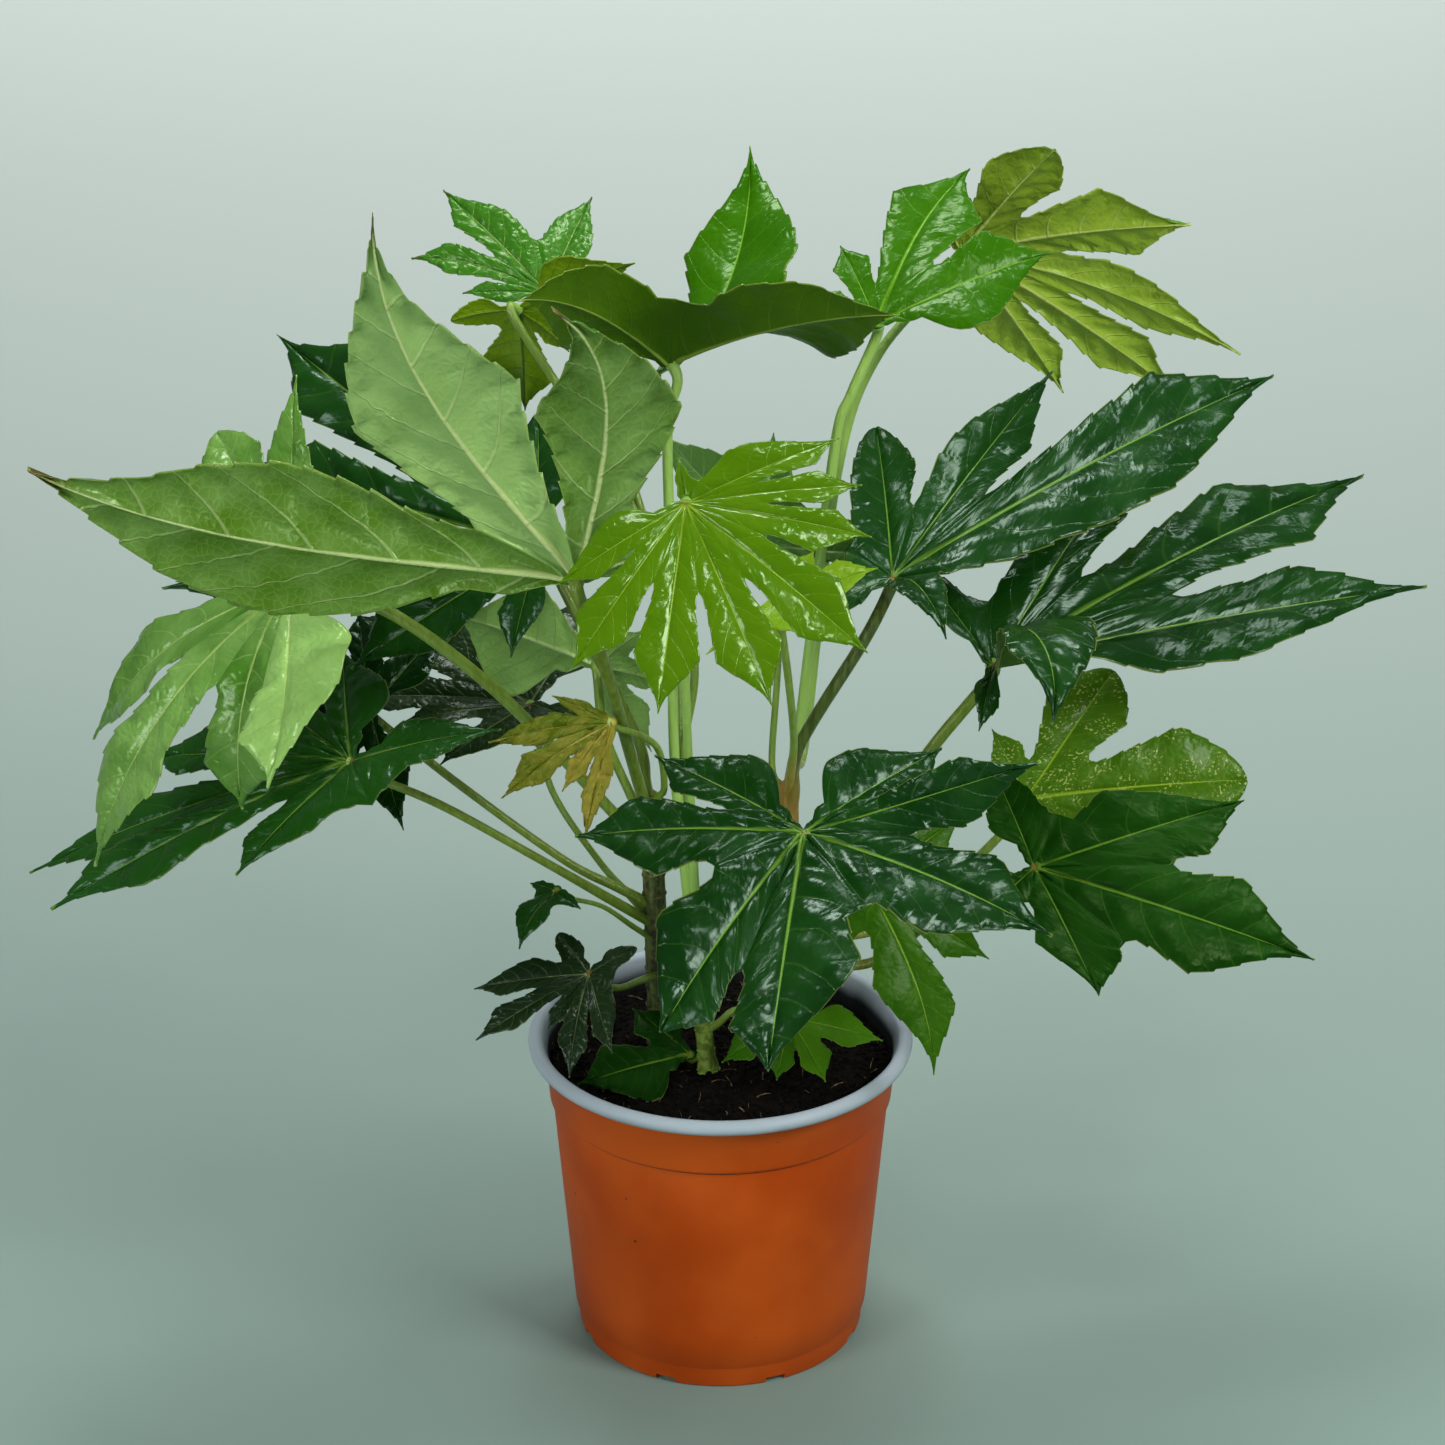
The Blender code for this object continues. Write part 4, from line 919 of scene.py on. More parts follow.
@dataclass
class Blade:
    """A thin closed palmate blade: toothed, folded along its ribs, quilted between its lateral veins."""

    leaf: Leaf
    thickness: float = 0.45
    columns: tuple[float, ...] = (0.035, 0.1, 0.22, 0.37, 0.53, 0.69, 0.84, 0.94, 1.0)
    tooth_steps: tuple[float, ...] = (0.0, 0.4, 0.75, 0.97)
    inner_step: float = 3.0
    rib_rise: float = 0.9  # how far the midrib stands out below
    rib_groove: float = 0.3  # and lies in above
    points: list[Vector] = field(default_factory=lambda: [Vector((0, 0, 0))])
    margin: list[float] = field(default_factory=lambda: [0.0])
    teeth: list[float] = field(default_factory=lambda: [0.0])
    ribs: list[float] = field(default_factory=lambda: [0.6])
    casts: list[float] = field(default_factory=lambda: [0.3])
    faces: list[tuple[int, ...]] = field(default_factory=list)
    corners: list[list[tuple[float, float, float, float]]] = field(default_factory=list)

    def __post_init__(self) -> None:
        """Lays out the fingers, the notches between them, and how many rows each part needs."""
        self.form = LEAF_FORMS.get(self.leaf.tone, LeafForm())
        self.laterals = LEAF_FINISHES[self.leaf.tone].laterals
        lobes = sorted(self.leaf.lobes, key=lambda lobe: lobe.turn)
        self.webs = [lobe.web for lobe in lobes]
        self.fingers = [Finger(lobe, self.leaf.width) for lobe in lobes]
        self.sinuses = [self.sinus(i) for i in range(len(lobes) - 1)]
        depth = sum(point.length for point, _ in self.sinuses) / len(self.sinuses)
        self.inner = max(3, round(depth / self.inner_step))
        self.seams: dict[tuple[int, int], int] = {}

    def add(
        self, point: Vector, lobe: int, margin: float = 0.0, tooth: float = 0.0, rib: float = 0.0
    ) -> int:
        """Adds a point with its values and gives its number."""
        self.points.append(point)
        self.margin.append(margin)
        self.teeth.append(tooth)
        self.ribs.append(rib)
        casts = LOBE_TONE_AND_PAINTED_LIGHT.get(self.leaf.name, USUAL_TONE_AND_PAINTED_LIGHT)
        self.casts.append(casts[min(lobe, len(casts) - 1)])
        return len(self.points) - 1

    def pitch(self, finger: Finger) -> float:
        """Distance between teeth along a lobe."""
        return self.form.tooth_base + self.form.tooth_growth * finger.length

    def sinus(self, i: int) -> tuple[Vector, tuple[float, float]]:
        """The bottom of the notch after lobe i, and how far along its two neighbours that is."""
        left, right = self.fingers[i], self.fingers[i + 1]
        half = (right.turn - left.turn) / 2
        depth = self.webs[i] * min(left.length, right.length)
        reach = (depth + PAD_RADIUS) * math.sin(min(half, WIDEST_SINUS))
        shares = depth * math.cos(half) / left.length, depth * math.cos(half) / right.length
        point = (left.beside(shares[0], 1, reach) + right.beside(shares[1], -1, reach)) / 2
        return point, shares

    def seam(self, i: int, row: int) -> int:
        """Number of the point that lobes i and i + 1 share at a row between the pad and their notch."""
        if (i, row) not in self.seams:
            middle = (self.fingers[i].turn + self.fingers[i + 1].turn) / 2
            pad, share = direction(middle) * PAD_RADIUS, row / self.inner
            point = pad.lerp(self.sinuses[i][0], share)
            point.z += SEAM_ARCH * self.sinuses[i][0].length * math.sin(math.pi * share)
            self.seams[i, row] = self.add(point, i, 1.0 if row == self.inner else 0.0)
        return self.seams[i, row]

    def free_edge(self, finger: Finger, s: float, side: int) -> Vector:
        """Edge of a lobe on a side that has no neighbour."""
        swell = half_width(max(s - FREE_BASE, 0) / (1 - FREE_BASE), finger.peak, finger.taper)
        least = FREE_LEAST * min(s / FREE_BASE, 1 - s)
        wide = max(FREE_PAD * PAD_RADIUS * (1 - s), finger.width * max(swell, least))
        return finger.beside(s, side, wide)

    def cut_edge(self, i: int, side: int, seam: int, share: float) -> Vector:
        """Edge of lobe i at a share of its length past the notch on that side."""
        finger = self.fingers[i]
        point, shares = self.sinuses[seam]
        start = shares[0 if side > 0 else 1]
        s = start + (1 - start) * share
        neck = (point - finger.rib(start)).length
        swell = half_width(share, finger.peak, finger.taper)
        wide = neck + (finger.width - neck) * swell if share < finger.peak else finger.width * swell
        half = min((self.fingers[seam + 1].turn - self.fingers[seam].turn) / 2, WIDEST_SINUS)
        opening = 1 + (self.leaf.room * (1 - CLEARANCE) - 1) * min(share / OPENING, 1) ** 0.5
        room = (PAD_RADIUS + s * finger.length) * math.sin(half) * opening
        wide = min(wide, max(room, NECK_LEAST * neck))
        settle = max(0.0, 1 - share / SETTLING) ** 2
        return finger.beside(s, side, wide) + settle * (point - finger.beside(start, side, neck))

    def row(self, i: int, part: float, tooth: float, inner_row: int | None) -> list[Corner]:
        """One row of points across lobe i.

        Args:
            i: the lobe.
            part: share of the way, up to the notch for an inner row and past it for an outer one.
            tooth: how far this row stands out as a tooth, from 0 to 1.
            inner_row: the row's number between the pad and the notch, or None past the notch.

        Returns:
            The row's points in order.
        """
        finger = self.fingers[i]
        seams = {-1: i - 1 if i > 0 else None, 1: i if i < len(self.sinuses) else None}
        cuts = [(side, seam) for side, seam in seams.items() if seam is not None]
        starts = [self.sinuses[seam][1][0 if side > 0 else 1] for side, seam in cuts]
        start = sum(starts) / len(starts)
        s = start * part if inner_row is not None else start + (1 - start) * part
        halves: dict[int, list[Corner]] = {}
        for side, seam in seams.items():
            shared = None
            if seam is None:
                edge = self.free_edge(finger, s, side)
            elif inner_row is not None:
                shared = self.seam(seam, inner_row)
                edge = self.points[shared]
            else:
                edge = self.cut_edge(i, side, seam, part)
            halves[side] = self.half_row(edge, i, side, s, tooth, shared)
        centre = (self.add(finger.rib(s), i, rib=1 - RIB_FADE * s), 0.0, s)
        return [*reversed(halves[-1]), centre, *halves[1]]

    def half_row(
        self, edge: Vector, i: int, side: int, s: float, tooth: float, shared: int | None
    ) -> list[Corner]:
        """The points of a row on one side of the midrib.

        Args:
            edge: the last point, on the smooth edge or shared with the neighbouring lobe.
            i: the lobe.
            side: +1 for the side of the next lobe, -1 for the other.
            s: share of the lobe's length.
            tooth: how far the row stands out as a tooth.
            shared: number of the last point where it is shared, or None.

        Returns:
            The points from the midrib outwards.
        """
        finger = self.fingers[i]
        middle = finger.rib(s)
        across, normal = finger.frame(s)
        reach = edge - middle
        wide = reach.length
        if shared is None and wide > LEAST_REACH:
            pitch = self.pitch(finger)
            cut = pitch * self.form.tooth_depth * (tooth - TOOTH_MIDDLE)
            edge = edge + reach / wide * min(cut, TOOTH_MOST * wide)
            wave = s * finger.length / (WAVE_BASE + WAVE_GROWTH * pitch) + WAVE_LOBE * i + WAVE_SIDE * side
            edge = edge + normal * self.form.ruffle * wide * math.sin(TAU * wave)
            reach = edge - middle
        half = []
        for share in self.columns:
            if share == 1.0 and shared is not None:
                number = shared
            else:
                spot = middle + reach * share
                bulge = math.radians(CURL) / 2 * wide * share * (1 - share)
                bulge += self.pillow(finger, s, side, wide * share, share) + self.swell(spot, share)
                number = self.add(
                    spot + normal * bulge,
                    i,
                    share if shared is None else 0.0,
                    tooth if share == 1.0 and tooth > TOOTH_TIP and shared is None else 0.0,
                    (1 - RIB_FADE * s) * smooth(RIB_HALF, 0.0, share),
                )
            half.append((number, (self.points[number] - middle).dot(across) / finger.width, s))
        return half

    def pillow(self, finger: Finger, s: float, side: int, distance: float, share: float) -> float:
        """Rise of the face between two lateral veins."""
        beside = distance / finger.width
        arch = VEIN_SWEEP * beside * beside + VEIN_LEAVE * beside
        phase = (s - arch) * self.laterals + (VEIN_OFFSET if side > 0 else 0.0)
        swell = math.sin(math.pi * ((phase + 0.5) % 1.0))
        return self.form.quilt * finger.width * swell * smooth(0, 0.2, share) * smooth(1.0, 0.75, share)

    def swell(self, spot: Vector, share: float) -> float:
        """Rise of the uneven puckers of the face at a point."""
        seed = Vector((0, 0, 0.37 * self.leaf.heading + self.leaf.hub[0]))
        small = SMALL_SHARE * noise.noise(spot * SMALL_SIZE + seed)
        rise = noise.noise(spot * self.form.pucker_size + seed) + small
        return self.form.pucker * rise * smooth(0, 0.15, share) * smooth(1.0, 0.9, share)

    def add_face(self, ring: list[Corner], finger: Finger, i: int) -> None:
        """Adds one face with its two sets of pattern coordinates at each corner."""
        kept = [corner for k, corner in enumerate(ring) if corner[0] != ring[k - 1][0]]
        if len(kept) < 3:
            return
        self.faces.append(tuple(number for number, _, _ in kept))
        self.corners.append(
            [(x, y, x * finger.width / CM + LOBES_APART * i, y * finger.length / CM) for _, x, y in kept]
        )

    def add_lobe(self, i: int) -> list[list[Corner]]:
        """The rows of lobe i, from the pad to the tip, and the faces between them."""
        finger = self.fingers[i]
        rows = [self.row(i, r / self.inner, TOOTH_MIDDLE, r) for r in range(self.inner + 1)]
        start = rows[-1][len(self.columns)][2]
        teeth = max(3, round(finger.length * (1 - start) / self.pitch(finger)))
        for k in range(teeth):
            for step in self.tooth_steps:
                part = (k + step) / teeth
                if part > 0:
                    rows.append(self.row(i, part, step, None))
        tip = (self.add(finger.rib(1.0), i, 1.0), 0.0, 1.0)
        rows.append([tip] * len(rows[0]))
        for low, high in zip(rows, rows[1:]):
            for k in range(len(low) - 1):
                self.add_face([low[k], high[k], high[k + 1], low[k + 1]], finger, i)
        hub = (0, 0.0, -PAD_RADIUS / finger.length)
        for a, b in zip(rows[0], rows[0][1:]):
            self.add_face([hub, a, b], finger, i)
        return rows

    def close_pad(self, last: int, first: int) -> None:
        """Fills the disc over the stalk between the last lobe and the first."""
        start = self.fingers[-1].turn + PAD_CORNER
        end = self.fingers[0].turn - PAD_CORNER + TAU
        turns = [start + (end - start) * share for share in (0, 0.25, 0.5, 0.75, 1)]
        radius = FREE_PAD * PAD_RADIUS
        if end - start < NARROW_PAD:
            turns = [(start + end) / 2]
            radius = 0.5 * PAD_RADIUS
        ring = [last, *(self.add(direction(turn) * radius, 0) for turn in turns), first]
        for a, b in zip(ring, ring[1:]):
            self.add_face([(0, 0.0, -0.02), (a, 0.05, 0.0), (b, 0.05, 0.0)], self.fingers[0], 0)

    def normals(self) -> list[Vector]:
        """Normal of the middle surface at each point."""
        sums = [Vector((0, 0, 0)) for _ in self.points]
        for ring in self.faces:
            corners = [self.points[number] for number in ring]
            normal = (corners[2] - corners[0]).cross(corners[-1] - corners[1])
            for number in ring:
                sums[number] += normal
        return [total.normalized() for total in sums]

    def mesh(self) -> Mesh:
        """The blade as one closed mesh in metres, in place."""
        rows = [self.add_lobe(i) for i in range(len(self.fingers))]
        self.close_pad(rows[-1][0][-1][0], rows[0][0][0][0])
        normals = self.normals()
        place = self.leaf.matrix
        count = len(self.points)
        half = self.thickness / 2
        sheet = list(zip(self.points, normals, self.ribs))
        upper = [place @ (p + n * (half - self.rib_groove * rib)) for p, n, rib in sheet]
        lower = [place @ (p - n * (half + self.rib_rise * rib)) for p, n, rib in sheet]
        faces, corners = list(self.faces), list(self.corners)
        seen = {(a, b) for ring in self.faces for a, b in zip(ring, ring[1:] + ring[:1])}
        for ring, values in zip(self.faces, self.corners):
            faces.append(tuple(count + number for number in (ring[0], *reversed(ring[1:]))))
            corners.append([values[0], *reversed(values[1:])])
            for k, (a, b) in enumerate(zip(ring, ring[1:] + ring[:1])):
                if (b, a) not in seen:
                    faces.append((b, a, count + a, count + b))
                    near, far = values[k], values[(k + 1) % len(values)]
                    corners.append([far, near, near, far])
        mesh = make_mesh(self.leaf.name, upper + lower, [], faces)
        flat = [value for values in corners for value in values]
        for name, pick in (("lobe", 0), ("flat", 2)):
            layer = mesh.uv_layers.new(name=name)
            layer.data.foreach_set("uv", [number for value in flat for number in value[pick:pick + 2]])
        set_values(
            mesh, side=[1.0] * count + [0.0] * count, margin=self.margin * 2, tooth=self.teeth * 2,
            cast=self.casts * 2, dull=[LEAF_DULLS.get(self.leaf.name, 0.0)] * (2 * count),
        )
        mesh.shade_smooth()
        return mesh

    def build(self) -> Object:
        """Makes the blade and dresses it in its leaf's finish."""
        slot = "leaf_bright" if self.leaf.tone is Tone.LIGHT else self.leaf.tone.value
        piece = add_piece(self.leaf.name.replace("leaf", "blade"), self.mesh(), slot, self.leaf.name)
        finish = OWN_FINISHES.get(self.leaf.name, LEAF_FINISHES[self.leaf.tone])
        piece.data.materials.append(material_of(finish))
        return piece


def material_of(finish: LeafFinish | StemFinish) -> Material:
    """The material of a finish, made once."""
    return bpy.data.materials.get(finish.name) or finish.material()


class Tree:
    """A geometry node tree with named inputs, built in small steps."""

    def __init__(self, name: str, **inputs: tuple[str, object]) -> None:
        """Starts a tree whose inputs are given as socket kind and value."""
        self.group = bpy.data.node_groups.new(name, "GeometryNodeTree")
        for way in ("INPUT", "OUTPUT"):
            self.group.interface.new_socket("Geometry", in_out=way, socket_type="NodeSocketGeometry")
        self.values: dict[str, object] = {}
        for title, (kind, value) in inputs.items():
            socket = self.group.interface.new_socket(title, in_out="INPUT", socket_type="NodeSocket" + kind)
            self.values[socket.identifier] = value
        self.source = self.group.nodes.new("NodeGroupInput")
        self.sink = self.group.nodes.new("NodeGroupOutput")

    def given(self, name: str) -> NodeSocket:
        """One of the tree's own inputs."""
        return self.source.outputs[name]

    def add(self, kind: str, wires: dict[str | int, object] | None = None, **settings: object) -> Node:
        """Adds a node, sets its properties, and links or sets its inputs."""
        node = self.group.nodes.new(kind)
        for name, value in settings.items():
            setattr(node, name, value)
        for key, value in (wires or {}).items():
            socket = node.inputs[key]
            if isinstance(value, NodeSocket):
                self.group.links.new(value, socket)
            else:
                socket.default_value = value
        return node

    def pipe(
        self, kind: str, wires: dict[str | int, object] | None = None, **settings: object
    ) -> NodeSocket:
        """Adds a node and gives its first output."""
        return self.add(kind, wires, **settings).outputs[0]

    def named(self, name: str) -> NodeSocket:
        """Value of a named attribute."""
        return self.pipe("GeometryNodeInputNamedAttribute", {"Name": name}, data_type="FLOAT")

    def random(self, low: float, high: float, seed: int) -> NodeSocket:
        """A random number for each point."""
        wires = {2: low, 3: high, "Seed": seed}
        return self.add("FunctionNodeRandomValue", wires, data_type="FLOAT").outputs[1]

    def turn(self, seed: int) -> NodeSocket:
        """A random rotation for each point."""
        wires = {1: (TAU, TAU, TAU), "Seed": seed}
        return self.pipe("FunctionNodeRandomValue", wires, data_type="FLOAT_VECTOR")

    def ring(self, points: int | NodeSocket, radius: float) -> NodeSocket:
        """A round curve."""
        return self.pipe("GeometryNodeCurvePrimitiveCircle", {"Resolution": points, "Radius": radius})

    def dress(self, shape: NodeSocket, material: Material) -> NodeSocket:
        """Realizes instances and sets the material."""
        real = self.pipe("GeometryNodeRealizeInstances", {0: shape})
        return self.pipe("GeometryNodeSetMaterial", {"Geometry": real, "Material": material})

    def apply(self, shape: NodeSocket, mesh: Mesh) -> Mesh:
        """Ends the tree with a shape, runs it over a mesh and gives the result as a plain mesh."""
        self.group.links.new(shape, self.sink.inputs[0])
        holder = add_object(self.group.name, mesh)
        modifier = holder.modifiers.new(self.group.name, "NODES")
        modifier.node_group = self.group
        for identifier, value in self.values.items():
            modifier[identifier] = value
        graph = bpy.context.evaluated_depsgraph_get()
        made = bpy.data.meshes.new_from_object(holder.evaluated_get(graph))
        bpy.data.objects.remove(holder, do_unlink=True)
        return made


STALK_TINTS = {
    "leaf_top_middle": 0.0, "leaf_top_right": 0.05, "leaf_far_right": 0.05, "leaf_young_centre": 0.1,
    "leaf_right_upper": 0.85, "leaf_right_middle": 0.5, "leaf_upright_left": 0.6, "leaf_low_left": 0.45,
    "leaf_drooping_left": 0.4, "leaf_glossy_left": 0.5, "leaf_low_right": 0.75, "leaf_dark_behind": 0.7,
}  # from light green at 0 over olive to dark brown-green at 1
USUAL_TINT = 0.35
# shares of the way up a stem, each with its girth there in radii
STEM_GIRTHS = ((0.12, 1.0), (0.3, 0.97), (0.5, 0.94), (0.75, 0.9), (0.96, 0.86))


@dataclass
class WoodyStem:
    """One woody stem with the stalks that leave it, as tubes along their routes."""

    name: str
    slot: str
    finish: StemFinish
    foot: tuple[float, float]
    top: Triple
    radius: float
    soil_top: float
    sheath: float = 0.0
    sides: int = 14
    step: float = 3.0
    scars: int = 11
    scar_rise: float = 0.09  # of the stem's radius
    stalk_collar: float = 1.18  # girth of the swelling above a stalk's foot, in stalk radii
    stalk_end: float = 1.25  # and under the blade
    hidden: float = 12.0  # length below the soil that is still made

    def route(self) -> list[Station]:
        """The stem's own points."""
        x, y = self.foot
        collar = Vector((x, y, self.soil_top + COLLAR_RISE))
        top = Vector(self.top)
        up = (top - collar).normalized()
        base = collar - Vector((0, 0, self.hidden + COLLAR_RISE))
        made = [(base, 1.1, 1.0, 0.0), (collar, COLLAR_SWELL, 1.0, 0.0)]
        for share, swell in STEM_GIRTHS:
            sheath = self.sheath * smooth(0.6, 0.85, share)
            made.append((collar.lerp(top, share), swell, 1.0 - 0.4 * share, sheath))
        made += [(top, 0.55, 0.6, self.sheath), (top + up * 0.25 * self.radius, 0.15, 0.6, self.sheath)]
        return [(point, swell * self.radius, wood, sheath, 0.5) for point, swell, wood, sheath in made]

    def stalk_route(self, leaf: Leaf) -> list[Station]:
        """A stalk's points from the middle of the stem to the blade."""
        normal = leaf.matrix.to_3x3() @ Vector((0, 0, 1))
        hub = Vector(leaf.hub)
        radius = leaf.stalk.radius
        points = [Vector(leaf.stalk.start), *(Vector(point) for point in leaf.stalk.way)]
        points += [hub - normal * (0.5 + STALK_SEAT * radius), hub - normal * 0.2]
        tint = STALK_TINTS.get(leaf.name, USUAL_TINT)
        first = (points[0], radius * STALK_BASE, 0.4, self.sheath, tint)
        rest = [(point, radius, 0.0, 0.0, tint) for point in points[1:-1]]
        swollen = points[1].lerp(points[0], 0.6)
        collar = (swollen, radius * self.stalk_collar, 0.1, 0.6 * self.sheath, tint)
        return [first, collar, *rest, (points[-1], radius * self.stalk_end, 0.0, 0.0, 0.5 * tint)]

    @staticmethod
    def wires(name: str, routes: list[list[Station]]) -> Mesh:
        """All routes as one mesh of edges that carries girth, wood, sheath and tint."""
        points, girths, woods, sheaths, tints = zip(*(station for route in routes for station in route))
        edges, start = [], 0
        for route in routes:
            edges += [(start + k, start + k + 1) for k in range(len(route) - 1)]
            start += len(route)
        mesh = make_mesh(name, points, edges, [])
        set_values(mesh, girth=[girth * MM for girth in girths], wood=woods, sheath=sheaths, tint=tints)
        return mesh

    def tubes(self, routes: list[list[Station]], material: Material) -> Mesh:
        """Sweeps a ring along each route."""
        tree = Tree("stalk_tubes", Sides=("Int", self.sides), Step=("Float", self.step * MM))
        path = tree.pipe("GeometryNodeMeshToCurve", {"Mesh": tree.given("Geometry")})
        path = tree.pipe("GeometryNodeCurveSplineType", {"Curve": path}, spline_type="CATMULL_ROM")
        wires = {"Curve": path, "Length": tree.given("Step")}
        path = tree.pipe("GeometryNodeResampleCurve", wires, mode="LENGTH")
        tube = tree.pipe("GeometryNodeCurveToMesh", {
            "Curve": path, "Profile Curve": tree.ring(tree.given("Sides"), 1.0),
            "Scale": tree.named("girth"), "Fill Caps": True,
        })
        return tree.apply(tree.dress(tube, material), self.wires(self.name + "_routes", routes))

    def leaf_scars(self, material: Material) -> Mesh:
        """Sets leaf scars round the woody stem."""
        tree = Tree("leaf_scars", Scars=("Int", self.scars))
        path = tree.pipe("GeometryNodeMeshToCurve", {"Mesh": tree.given("Geometry")})
        wires = {"Curve": path, "Count": tree.given("Scars")}
        spots = tree.pipe("GeometryNodeResampleCurve", wires, mode="COUNT")
        scar = tree.pipe("GeometryNodeCurveToMesh", {
            "Curve": tree.ring(20, 1.0), "Profile Curve": tree.ring(6, self.scar_rise),
        })
        along = tree.pipe("GeometryNodeInputTangent")
        aim = tree.pipe("FunctionNodeAlignRotationToVector", {"Vector": along}, axis="Z")
        wires = {0: tree.named("girth"), 1: tree.random(0.98, 1.03, 4)}
        size = tree.pipe("ShaderNodeMath", wires, operation="MULTIPLY")
        placed = tree.pipe("GeometryNodeInstanceOnPoints", {
            "Points": spots, "Instance": scar, "Rotation": aim, "Scale": size,
        })
        core = [(point, girth, 1.0, 0.0, 0.5) for point, girth, *_ in self.route()[1:-3]]
        return tree.apply(tree.dress(placed, material), self.wires(self.name + "_core", [core]))

    def build(self) -> Object:
        """Makes the stem, its stalks and its scars as one piece."""
        material = material_of(self.finish)
        own = [leaf for leaf in LEAVES if leaf.stalk.stem == self.name]
        made = self.tubes([self.route(), *(self.stalk_route(leaf) for leaf in own)], material)
        shape = bmesh.new()
        shape.from_mesh(made)
        shape.from_mesh(self.leaf_scars(material))
        bmesh.ops.recalc_face_normals(shape, faces=shape.faces)
        shape.to_mesh(made)
        shape.free()
        made.shade_smooth()
        return add_piece(self.name + "_fine", made, self.slot, self.name)


